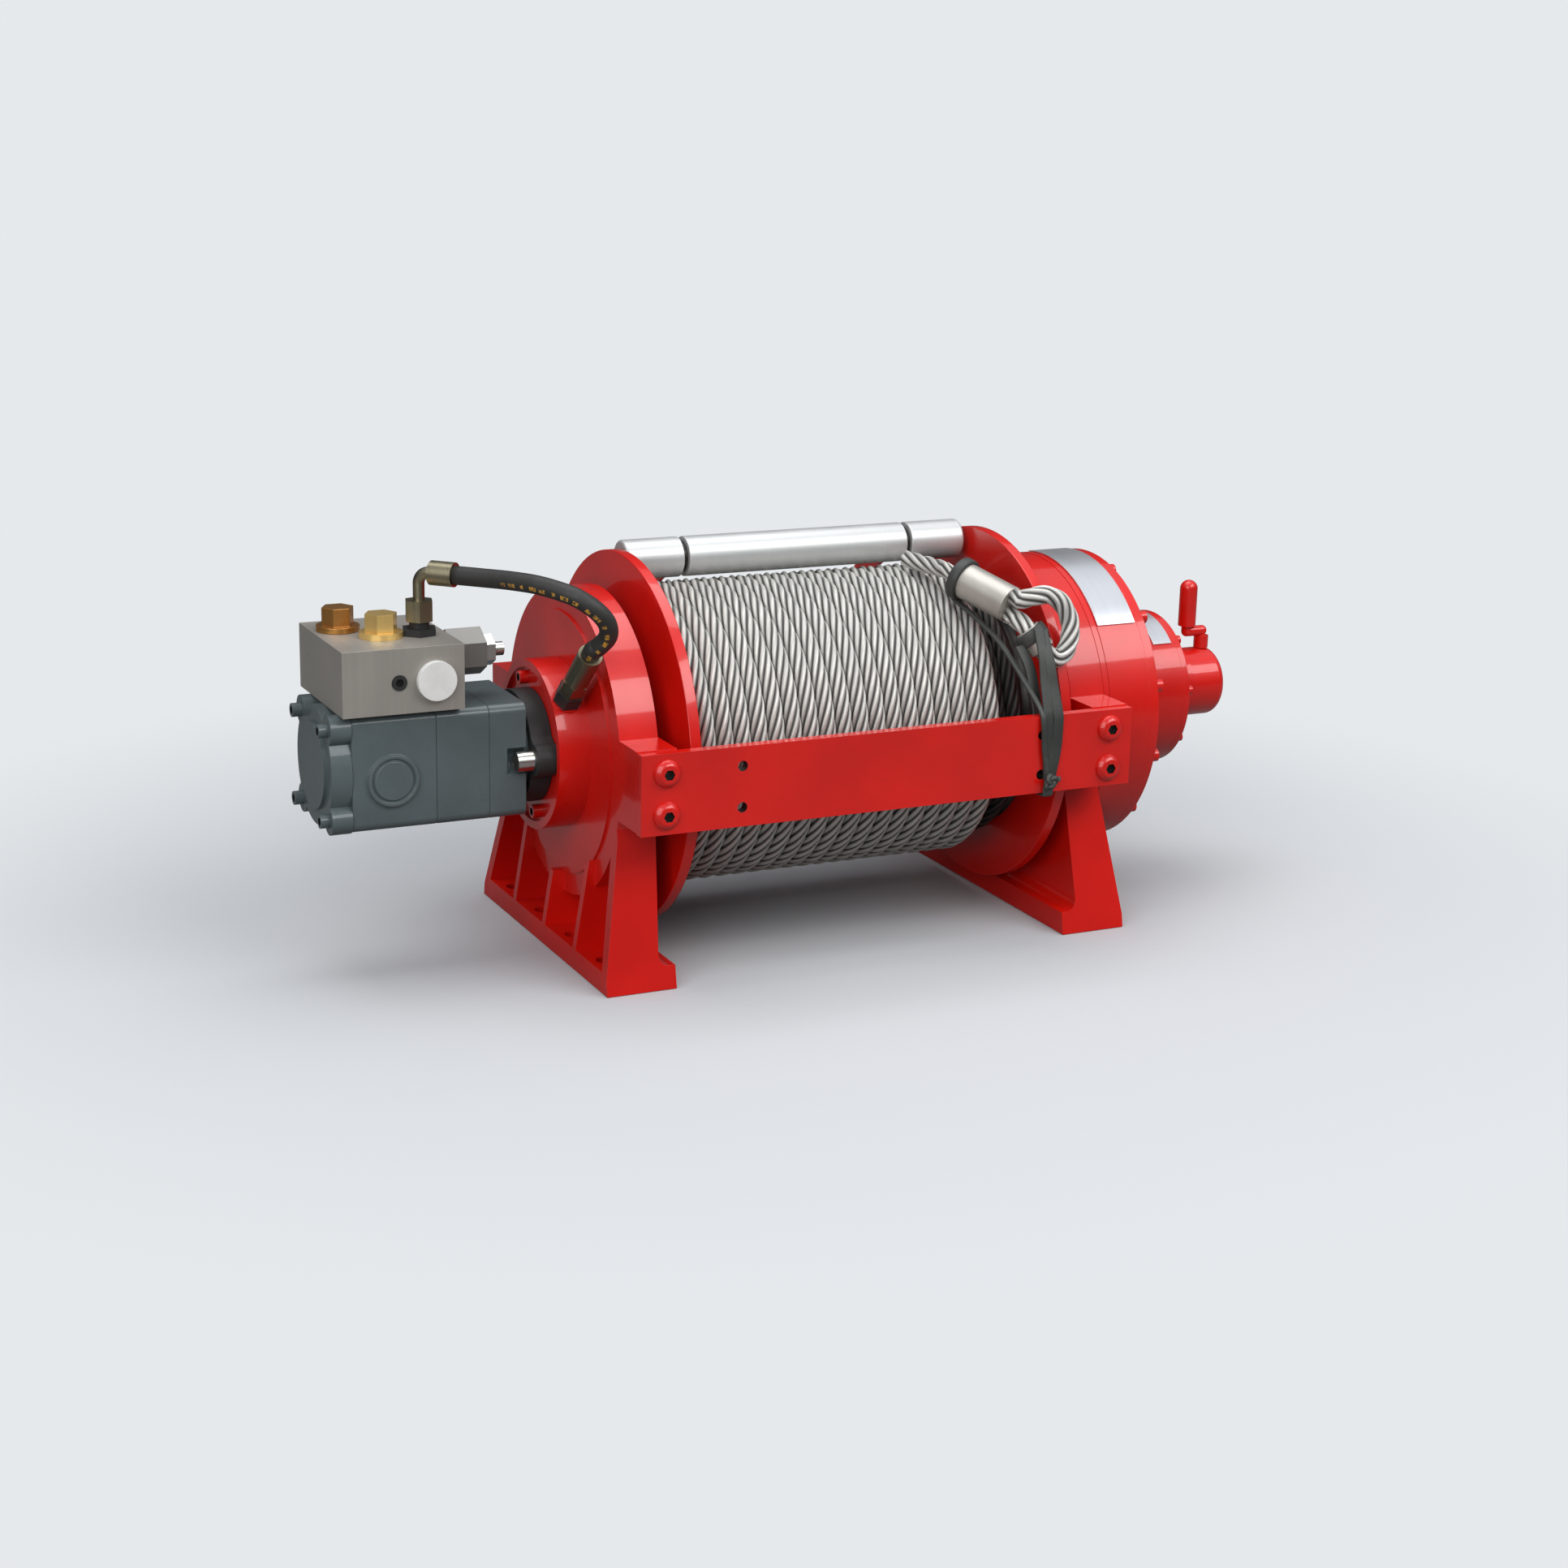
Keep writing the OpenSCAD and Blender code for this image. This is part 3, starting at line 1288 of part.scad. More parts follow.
module tensioner_arm(x) {
    link = around(roller_dist, -arm_turn);
    difference() {
        union() {
            intersection() {
                ring(x, arm_t, roller_dist + arm_half_w, roller_dist - arm_half_w);
                across(x - overrun, arm_t + 2 * overrun) polygon([[0, 0],
                    for (a = [roller_angle, (roller_angle + arm_turn) / 2, arm_turn])
                        around(2 * roller_dist, -a)]);
            }
            at_roller(x) cylinder(h = arm_t, r = arm_eye_r);
            at_pivot(x) cylinder(h = arm_t, r = arm_eye_r);
            across(x, arm_t) polygon([
                around(roller_dist - arm_half_w, arm_lap - arm_turn),
                around(roller_dist + arm_half_w, arm_lap - arm_turn),
                around(roller_dist + arm_half_w, -arm_turn),
                [pivot_y + arm_eye_r / 2, pivot_rise + arm_eye_r * sin(60)],
                [pivot_y - arm_eye_r / 2, pivot_rise - arm_eye_r * sin(60)],
                around(roller_dist - arm_half_w, -arm_turn)
            ]);
        }
        at_roller(x - overrun) cylinder(h = arm_t + 2 * overrun, r = roller_shaft_r);
        at_pivot(x - overrun) cylinder(h = arm_t + 2 * overrun, r = roller_shaft_r);
    }
}
module tensioner_arms() {
    color(paint_red) {
        tensioner_arm(arm_x);
        tensioner_arm(-arm_out);
    }
}
bracket_lug_x = arm_out + spring_room;
pivot_half = bracket_lug_x + bracket_lug_t + pivot_end;
module tensioner_shafts() {
    color(steel) {
        at_roller(-roller_end_x + roller_wall + seat)
            cylinder(h = 2 * (roller_end_x - roller_wall - seat), r = roller_shaft_r);
        at_pivot(-pivot_half) cylinder(h = 2 * pivot_half, r = roller_shaft_r);
    }
}
module tensioner_bracket() {
    plate_y = bar_y + bar_t;
    plate_h = bar_height - 2 * bracket_plate_in;
    difference() {
        union() {
            translate([bracket_lug_x, plate_y, bar_centre_z - plate_h / 2])
                cube([accessory_pitch - 2 * bracket_lug_x, bracket_plate_t, plate_h]);
            across(bracket_lug_x, bracket_lug_t) {
                polygon([
                    [plate_y, plate_h / 2 - bar_centre_drop], [plate_y, -bar_height / 4],
                    [plate_y + bracket_plate_t, -bar_height / 4], [pivot_y + lug_eye_r, pivot_rise],
                    [pivot_y - lug_eye_r, pivot_rise]
                ]);
                translate([pivot_y, pivot_rise]) circle(r = lug_eye_r);
            }
        }
        at_pivot(bracket_lug_x - overrun)
            cylinder(h = bracket_lug_t + 2 * overrun, r = roller_shaft_r + fit);
    }
    for (z = [-1, 1])
        translate([accessory_pitch / 2, plate_y + bracket_plate_t, bar_hole_z(z)])
            rotate([-90, 0, 0]) {
                cylinder(h = accessory_screw_d, d = head_share * accessory_screw_d);
                translate([0, 0, -bar_t - bracket_plate_t])
                    cylinder(h = bar_t + bracket_plate_t, d = accessory_screw_d);
            }
}
module tensioner_brackets() {
    color(paint_red) {
        tensioner_bracket();
        mirror([1, 0, 0]) tensioner_bracket();
    }
}

// Torsion springs round the pivot shaft, each with straight ends.
function curl_point(i) = let (a = 360 * i / rings_per_curl)
    [spring_start_x + curl_pitch * i / rings_per_curl, spring_coil_r * cos(a), spring_coil_r * sin(a)];
function curl_radial(i) = let (a = 360 * i / rings_per_curl) [0, cos(a), sin(a)];
curl_count = round(spring_curls * rings_per_curl);
curl_pitch = (spring_room - 2 * spring_side_gap - spring_wire_r * 2) / spring_curls;
spring_start_x = arm_out + spring_side_gap + spring_wire_r;
curl_points = [for (i = [0 : curl_count]) curl_point(i)];
curl_last = curl_points[curl_count];
spring_path = concat(
    [curl_points[0] - 2 * spring_wire_r * unit(curl_points[1] - curl_points[0])],
    curl_points,
    [curl_last + 2 * spring_wire_r * unit(curl_last - curl_points[curl_count - 1])]
);
spring_normals = [for (i = [-1 : curl_count + 1]) curl_radial(max(0, min(curl_count, i)))];
module torsion_springs() {
    color(dark_steel) for (s = [0, 1]) mirror([s, 0, 0])
        translate([0, pivot_y, axis_height + pivot_rise])
            tube(spring_path, spring_normals, spring_wire_r, form_sides);
    echo(torsion_spring_least_gap = least_gap(spring_path, rings_per_curl, 2 * spring_wire_r));
}

// Rope tail over the drum: rope, pressed ferrule and eye. Heights start from the top of the rope layer.
rope_top = axis_height + winding_out_r;
function over_rope(p) = [flange_in + p[0], p[1], rope_top + p[2]];
tail_start = over_rope(tail_ferrule_from);
tail_end = over_rope(tail_ferrule_to);
tail_way = unit(tail_end - tail_start);
eye_side = unit(square_to([0, 0, 1], tail_way));
tail_path = concat(through(concat([for (p = tail_points) over_rope(p)],
    [tail_start - rope_d * tail_way]), tail_steps), [tail_start - seat * tail_way]);
eye_legs = [for (s = [1, -1]) tail_end + s * eye_leg_offset * eye_side];
eye_path = concat([eye_legs[0] + seat * tail_way],
    through(concat([eye_legs[0] + eye_rope_r * tail_way], [for (p = eye_points) over_rope(p)],
        [eye_legs[1] + eye_rope_r * tail_way]), eye_steps),
    [eye_legs[1] + seat * tail_way]);
module rope_tail() {
    color(rope_grey) {
        tube(tail_path, carried(tangents(tail_path), [0, 0, 1]), rope_d / 2, tail_sides);
        tube(eye_path, carried(tangents(eye_path), eye_side), eye_rope_r, tail_sides);
    }
}
// A rod from one point to another, of one radius.
module rod(a, b, r) {
    v = b - a;
    translate(a) rotate([0, acos(v[2] / norm(v)), atan2(v[1], v[0])]) cylinder(h = norm(v), r = r);
}
sleeve_a = over_rope(eye_points[sleeve_from]);
sleeve_b = over_rope(eye_points[sleeve_from + 1]);
sleeve_way = unit(sleeve_b - sleeve_a);
module rope_ferrules() {
    color(ferrule_grey) {
        rod(tail_start, tail_end, tail_ferrule_r);
        difference() {
            rod(sleeve_a + sleeve_in * sleeve_way, sleeve_b - sleeve_in * sleeve_way, sleeve_r);
            rod(sleeve_a, sleeve_b, eye_rope_r + sleeve_gap);
        }
    }
}

// Rubber strap that holds the eye down to the front bar.
bar_top = bar_centre_z + bar_height / 2;
bar_face_y = -bar_y - bar_t - seat - strap_t / 2;
bar_back_y = -bar_y + seat + strap_t / 2;
function near_bar(p) = [flange_in + p[0], bar_face_y + p[1], bar_top + p[2]];
function behind_bar(p) = [flange_in + p[0], bar_back_y + p[1], bar_top + p[2]];
strap_ring = sleeve_b - (sleeve_in + strap_ring_in + strap_ring_w / 2) * sleeve_way;
strap_a = concat([strap_ring + strap_a_lift], [for (p = strap_a_points) near_bar(p)]);
strap_b = concat([strap_ring + strap_b_lift], [for (p = strap_b_points) near_bar(p)]);
strap_c = concat([tail_start + strap_c_lift], [for (p = strap_c_points) near_bar(p)]);
strap_back = concat([near_bar(strap_knot)],
    [for (p = strap_under_points) near_bar([p[0], p[1], p[2] - bar_height])],
    [for (p = strap_back_points) behind_bar(p)], [strap_ring + strap_back_lift]);
module strap_band(points, w) {
    p = through(points, strap_steps);
    band(p, [for (q = p) w], strap_t, [1, 0, 0]);
}
module ring_rod(half, r) { rod(strap_ring - half * sleeve_way, strap_ring + half * sleeve_way, r); }
module rubber_strap() {
    color(strap_grey) {
        difference() {
            ring_rod(strap_ring_w / 2, sleeve_r + seat + strap_t);
            ring_rod(strap_ring_w, sleeve_r + seat);
        }
        difference() {
            rod(tail_start + strap_wrap_from * tail_way,
                tail_start + (strap_wrap_from + strap_wrap_w) * tail_way, tail_ferrule_r + seat + strap_t);
            rod(tail_start, tail_end, tail_ferrule_r + seat);
        }
        strap_band(strap_a, strap_w);
        strap_band(strap_b, strap_w);
        strap_band(strap_c, strap_thin_w);
        strap_band(strap_back, strap_w);
        translate(near_bar(strap_knot) + [0, strap_t / 2, 0])
            rotate([90, 0, 0]) cylinder(h = 3 * strap_t, r = strap_knot_r);
    }
}

left_bracket();
right_bracket();
front_tie_bar();
rear_tie_bar();
tie_bar_screws();
brake_housing();
brake_piston();
brake_springs();
brake_friction_discs();
brake_steel_discs();
brake_hub();
motor_flange();
motor_bearing_housing();
motor_gerotor_set();
motor_port_housing();
motor_end_cover();
motor_screws();
motor_shaft();
valve_block();
port_plug_rear();
port_plug_front();
relief_valve();
block_socket_plug();
block_port_cap();
hose_adapters();
swivel_elbow();
hose_ferrules();
brake_hose();
input_shaft();
drum();
rope_core();
rope_winding();
drum_bushes();
low_ring_gear();
gearbox_cover();
housing_screws();
low_carrier();
low_planet_1();
low_planet_2();
low_planet_3();
high_ring_gear();
high_cover();
clutch_housing();
high_carrier();
high_planet_1();
high_planet_2();
high_planet_3();
clutch_lever();
clutch_plunger();
nameplates();
roller_centre();
roller_left();
roller_right();
tensioner_arms();
tensioner_shafts();
tensioner_brackets();
torsion_springs();
rope_tail();
rope_ferrules();
rubber_strap();
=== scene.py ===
"""The looks of a hydraulic winch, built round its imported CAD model.

Sizes in the classes are millimetres in the part's own frame: x runs along the drum from the motor to the
gearbox, y towards the back and z up from the feet. An angle round the drum is measured from the top towards
the front. The studio's lamps are in metres.
"""

import json
import logging
import math
from dataclasses import dataclass
from enum import Enum
from typing import Callable, Optional, Sequence

import bmesh
import bpy
import numpy as np
from mathutils import Matrix, Vector

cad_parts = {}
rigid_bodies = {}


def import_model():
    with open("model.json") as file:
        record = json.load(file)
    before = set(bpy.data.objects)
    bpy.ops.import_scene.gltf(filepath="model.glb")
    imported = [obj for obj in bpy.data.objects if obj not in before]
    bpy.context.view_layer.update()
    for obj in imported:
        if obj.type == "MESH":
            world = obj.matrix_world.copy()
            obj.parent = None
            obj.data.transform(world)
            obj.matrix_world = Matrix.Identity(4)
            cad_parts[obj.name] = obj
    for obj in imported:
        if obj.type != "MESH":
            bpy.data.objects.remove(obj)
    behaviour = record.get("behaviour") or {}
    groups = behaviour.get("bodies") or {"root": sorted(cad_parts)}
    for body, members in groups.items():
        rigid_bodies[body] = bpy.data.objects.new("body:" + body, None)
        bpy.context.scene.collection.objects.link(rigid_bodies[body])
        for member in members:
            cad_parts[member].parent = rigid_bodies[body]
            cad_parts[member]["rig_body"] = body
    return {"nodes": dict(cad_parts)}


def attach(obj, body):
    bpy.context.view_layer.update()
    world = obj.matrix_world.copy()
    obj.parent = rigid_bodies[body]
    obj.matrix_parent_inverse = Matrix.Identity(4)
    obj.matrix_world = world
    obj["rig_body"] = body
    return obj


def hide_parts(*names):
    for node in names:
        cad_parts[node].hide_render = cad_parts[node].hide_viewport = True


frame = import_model()

LOG = logging.getLogger("winch")
MM = 0.001
AXIS_Z = 185.0
SAME_POINT = 2e-6
FLAT_ANGLE = math.radians(0.2)
EDGE_ANGLE = math.radians(32)

Array = np.ndarray
Triple = tuple[float, float, float]
Node = bpy.types.Node
Socket = bpy.types.NodeSocket

X, Y, Z = np.eye(3)


# Surfaces worked out with numpy.

@dataclass
class Shell:
    """A mesh in the making: its points, its faces and the place of each face corner on the UV map."""

    points: Array
    faces: list[Array]
    places: list[Array]

    def mesh(self, name: str) -> bpy.types.Mesh:
        """Puts the arrays into a Blender mesh in metres.

        Args:
            name: the mesh's name.
        Returns:
            The mesh, shaded smooth.
        """
        mesh = bpy.data.meshes.new(name)
        sizes = np.concatenate([np.full(len(f), f.shape[1]) for f in self.faces])
        corners = np.concatenate([f.ravel() for f in self.faces]).astype(np.int32)
        starts = np.concatenate([[0], np.cumsum(sizes)[:-1]]).astype(np.int32)
        mesh.vertices.add(len(self.points))
        mesh.vertices.foreach_set("co", (self.points * MM).astype(np.float32).ravel())
        mesh.loops.add(len(corners))
        mesh.loops.foreach_set("vertex_index", corners)
        mesh.polygons.add(len(sizes))
        mesh.polygons.foreach_set("loop_start", starts)
        mesh.update(calc_edges=True)
        mesh.polygons.foreach_set("use_smooth", np.ones(len(sizes), bool))
        layer = mesh.uv_layers.new(name="UVMap")
        layer.uv.foreach_set("vector", np.concatenate(self.places).astype(np.float32).ravel())
        return mesh


def joined(*shells: Shell) -> Shell:
    """Several shells as one mesh.

    Args:
        shells: the shells, in order.
    Returns:
        One shell, in which the numbers of each one's points follow on from the last.
    """
    starts = np.cumsum([0] + [len(shell.points) for shell in shells])
    faces = [face + start for shell, start in zip(shells, starts) for face in shell.faces]
    places = [place for shell in shells for place in shell.places]
    return Shell(np.concatenate([shell.points for shell in shells]), faces, places)


def woven(points: Array, along: Array, round_rows: bool = False) -> Shell:
    """Quads between neighbouring points of a grid whose columns go all the way round.

    Args:
        points: the grid, rows by columns by 3.
        along: the V of each row on the UV map, with one more for the way back where the rows close too.
        round_rows: whether the last row joins the first; if not, a flat face closes each of them.
    Returns:
        The shell; U runs from 0 to 1 round each row.
    """
    rows, cols = points.shape[:2]
    i = np.arange(rows if round_rows else rows - 1)[:, None]
    j = np.arange(cols)[None, :]
    ring = [(i, j), (i, j + 1), (i + 1, j + 1), (i + 1, j)]
    quads = np.stack([(a % rows) * cols + b % cols for a, b in ring], -1).reshape(-1, 4)
    u = np.stack([np.broadcast_to(b / cols, (len(i), cols)) for _, b in ring], -1)
    v = np.stack([np.broadcast_to(along[a], (len(i), cols)) for a, _ in ring], -1)
    faces, places = [quads], [np.stack([u, v], -1).reshape(-1, 2)]
    if not round_rows:
        first, last = np.arange(cols)[::-1], np.arange(cols) + (rows - 1) * cols
        faces.append(np.stack([first, last]))
        places.append(np.zeros((2 * cols, 2)))
    return Shell(points.reshape(-1, 3), faces, places)


def unit(vectors: Array) -> Array:
    """Vectors made one long."""
    return vectors / np.linalg.norm(vectors, axis=-1, keepdims=True)


def ways(path: Array) -> Array:
    """The unit direction of a path at each of its points."""
    return unit(np.gradient(path, axis=0))


def lengths(path: Array) -> Array:
    """The length of a path from its start to each of its points."""
    return np.concatenate([[0.0], np.cumsum(np.linalg.norm(np.diff(path, axis=0), axis=1))])


def square_to(side: Array, way: Array) -> Array:
    """The part of side that is square to way, as unit vectors."""
    return unit(side - way * np.sum(side * way, axis=-1, keepdims=True))


def carried(way: Array, first: Array) -> Array:
    """Carries a side vector along a path's directions without twisting it.

    Args:
        way: the unit direction at each station.
        first: the side vector before the first station.
    Returns:
        One unit side vector for each station: the last one's part that is square to the direction.
    """
    sides, side = [], first
    for direction in way:
        side = square_to(side, direction)
        sides.append(side)
    return np.array(sides)


def smooth_through(points: Sequence[Sequence[float]] | Array, steps: int) -> Array:
    """A Catmull-Rom curve: at each point it runs parallel to the line between the point's neighbours.

    Args:
        points: the points that the curve passes through.
        steps: stations in each span.
    Returns:
        The stations.
    """
    p = np.array(points, float)
    p = np.concatenate([[2 * p[0] - p[1]], p, [2 * p[-1] - p[-2]]])
    a, b, c, d = (p[k:len(p) - 3 + k, None] for k in range(4))
    t = (np.arange(steps) / steps)[None, :, None]
    square, cube = 2 * a - 5 * b + 4 * c - d, 3 * b - a - 3 * c + d
    curve = (2 * b + (c - a) * t + square * t ** 2 + cube * t ** 3) / 2
    return np.concatenate([curve.reshape(-1, 3), p[-2:-1]])


def full_turn(count: int) -> Array:
    """Angles that share out a full turn evenly, from zero."""
    return 2 * math.pi * np.arange(count) / count


def outward(turns: Array) -> Array:
    """The unit vector out from the drum's axis at each angle a, given in turns: (0, -sin a, cos a)."""
    a = 2 * math.pi * turns
    return np.stack([0 * a, -np.sin(a), np.cos(a)], -1)


def rings(path: Array, sides: Array, across: Array, outline: Array) -> Array:
    """An outline at each station of a path: station + radius * (side * cos(angle) + across * sin(angle))."""
    radius, angle = outline[..., 0:1], outline[..., 1:2]
    return path[:, None] + radius * (np.cos(angle) * sides[:, None] + np.sin(angle) * across[:, None])


def tube(path: Array, sides: Array, outline: Array, along: Optional[Array] = None) -> Shell:
    """Carries an outline along a path.

    Args:
        path: the stations.
        sides: at each station, the unit vector from which the outline's angles count.
        outline: radius and angle of the outline's points, as (stations or 1, points, 2).
        along: the V of each station; its length from the start in metres where left out.
    Returns:
        The closed shell of the rings, with across as way x side.
    """
    grid = rings(path, sides, np.cross(ways(path), sides), outline)
    return woven(grid, lengths(path) * MM if along is None else along)


def circle(radius: float, count: int) -> Array:
    """A round outline for a tube."""
    return np.stack([np.full(count, radius), full_turn(count)], -1)[None]


def soft_oblong(width: float, thickness: float, count: int = 24) -> Array:
    """A flat band's outline, a superellipse.

    Args:
        width: the whole width.
        thickness: the whole thickness.
        count: points round.
    Returns:
        The outline, where (x / half width)^4 + (y / half thickness)^4 = 1.
    """
    cos, sin = np.cos(full_turn(count)), np.sin(full_turn(count))
    x = np.sign(cos) * np.abs(cos) ** 0.5 * width / 2
    y = np.sign(sin) * np.abs(sin) ** 0.5 * thickness / 2
    return np.stack([np.hypot(x, y), np.arctan2(y, x)], -1)[None]


def turned(profile: Sequence[tuple[float, float]], count: int, centre: Array, way: Array,
           side: Array) -> Shell:
    """Turns a closed profile round an axis.

    Args:
        profile: (place along the axis, radius) of each corner, out along the outside and back inside.
        count: points round.
        centre: a point of the axis, from which places along it count.
        way: the axis.
        side: where the angles start, square to the axis.
    Returns:
        The closed ring: centre + way * place + radius * (side * cos(angle) + (way x side) * sin(angle)).
    """
    p = np.array(profile, float)
    angle = full_turn(count)[:, None]
    out = np.cos(angle) * side + np.sin(angle) * np.cross(way, side)
    points = centre + p[:, None, 0:1] * way + p[:, None, 1:2] * out
    return woven(points, lengths(np.concatenate([p, p[:1]])) * MM, round_rows=True)


# Shader nodes.

class Tree:
    """A node tree being laid out."""

    def __init__(self, tree: bpy.types.NodeTree) -> None:
        """Starts from an empty tree."""
        self.tree = tree
        tree.nodes.clear()

    def add(self, kind: str, inputs: Optional[dict] = None, **settings: object) -> Node:
        """Adds a node.

        Args:
            kind: the node's type, without ShaderNode in front.
            inputs: by name or number, a value, or the socket that feeds it.
            settings: the node's own properties.
        Returns:
            The node.
        """
        node = self.tree.nodes.new(kind if kind.startswith("Node") else "ShaderNode" + kind)
        for name, value in settings.items():
            setattr(node, name, value)
        for key, value in (inputs or {}).items():
            if isinstance(value, Socket):
                self.tree.links.new(value, node.inputs[key])
            else:
                node.inputs[key].default_value = value
        return node

    def math(self, operation: str, a: object, b: object = 0.0, c: object = 0.0) -> Socket:
        """The result of a Math node."""
        return self.add("Math", {0: a, 1: b, 2: c}, operation=operation).outputs[0]

    def product(self, first: Socket, *factors: object) -> Socket:
        """A number multiplied by each of the factors.

        Args:
            first: the number.
            factors: numbers or sockets.
        Returns:
            The product.
        """
        for factor in factors:
            first = self.math("MULTIPLY", first, factor)
        return first

    def stretched(self, at: Socket, shares: Triple) -> Socket:
        """A vector multiplied by a share in each direction."""
        return self.add("VectorMath", {0: at, 1: shares}, operation="MULTIPLY").outputs[0]

    def noise(self, at: Socket, scale: object, detail: float = 2.0, roughness: float = 0.5) -> Node:
        """A noise texture, which puts out a value and a colour."""
        return self.add("TexNoise", {"Vector": at, "Scale": scale, "Detail": detail, "Roughness": roughness})

    def spread(self, value: object, start: object, end: object, low: float = 0.0, high: float = 1.0,
               **settings: object) -> Socket:
        """A number that goes from low to high as value goes from start to end, and stays there beyond."""
        return self.add("MapRange", {"Value": value, "From Min": start, "From Max": end, "To Min": low,
                                     "To Max": high}, **settings).outputs[0]

    def shade(self, mask: object, low: Triple, high: Triple, start: float, end: float) -> Socket:
        """A colour that goes from low to high as mask goes from start to end.

        Args:
            mask: the number that leads.
            low: the colour up to start.
            high: the colour from end.
            start: where the change begins.
            end: where it ends.
        Returns:
            The colour.
        """
        ramp = self.add("ValToRGB", {0: mask})
        first, last = ramp.color_ramp.elements
        first.position, last.position = start, end
        first.color, last.color = (*low, 1), (*high, 1)
        return ramp.outputs[0]

    def mixed(self, mask: Socket, low: Socket, high: Triple) -> Socket:
        """A colour that goes from low to high as mask goes from 0 to 1."""
        return self.add("Mix", {0: mask, 6: low, 7: (*high, 1)}, data_type="RGBA").outputs[2]

    def raised(self, height: Socket, strength: float, depth: float) -> Socket:
        """The normal of a surface with a height over it, whose full depth is in metres."""
        return self.add("Bump", {"Strength": strength, "Distance": depth, "Height": height}).outputs[0]


def linear(red: int, green: int, blue: int) -> Triple:
    """The light that a colour stands for: its values of 0 to 255, taken through the sRGB curve.

    Args:
        red: from 0 to 255.
        green: from 0 to 255.
        blue: from 0 to 255.
    Returns:
        The three shares of full light.
    """
    values = np.array([red, green, blue]) / 255
    light = np.where(values <= 0.04045, values / 12.92, ((values + 0.055) / 1.055) ** 2.4)
    return tuple(float(x) for x in light)


def tinted(colour: Triple, share: float) -> Triple:
    """A colour made lighter or darker by a share."""
    return tuple(min(1.0, x * share) for x in colour)


class Effect(Enum):
    """Surface effects that several finishes use."""

    CAST = "cast_skin"
    BRUSHED = "brushed_lines"
    GRIME = "grime_patches"
    SCUFFS = "fine_scuffs"
    WIRES = "laid_wires"


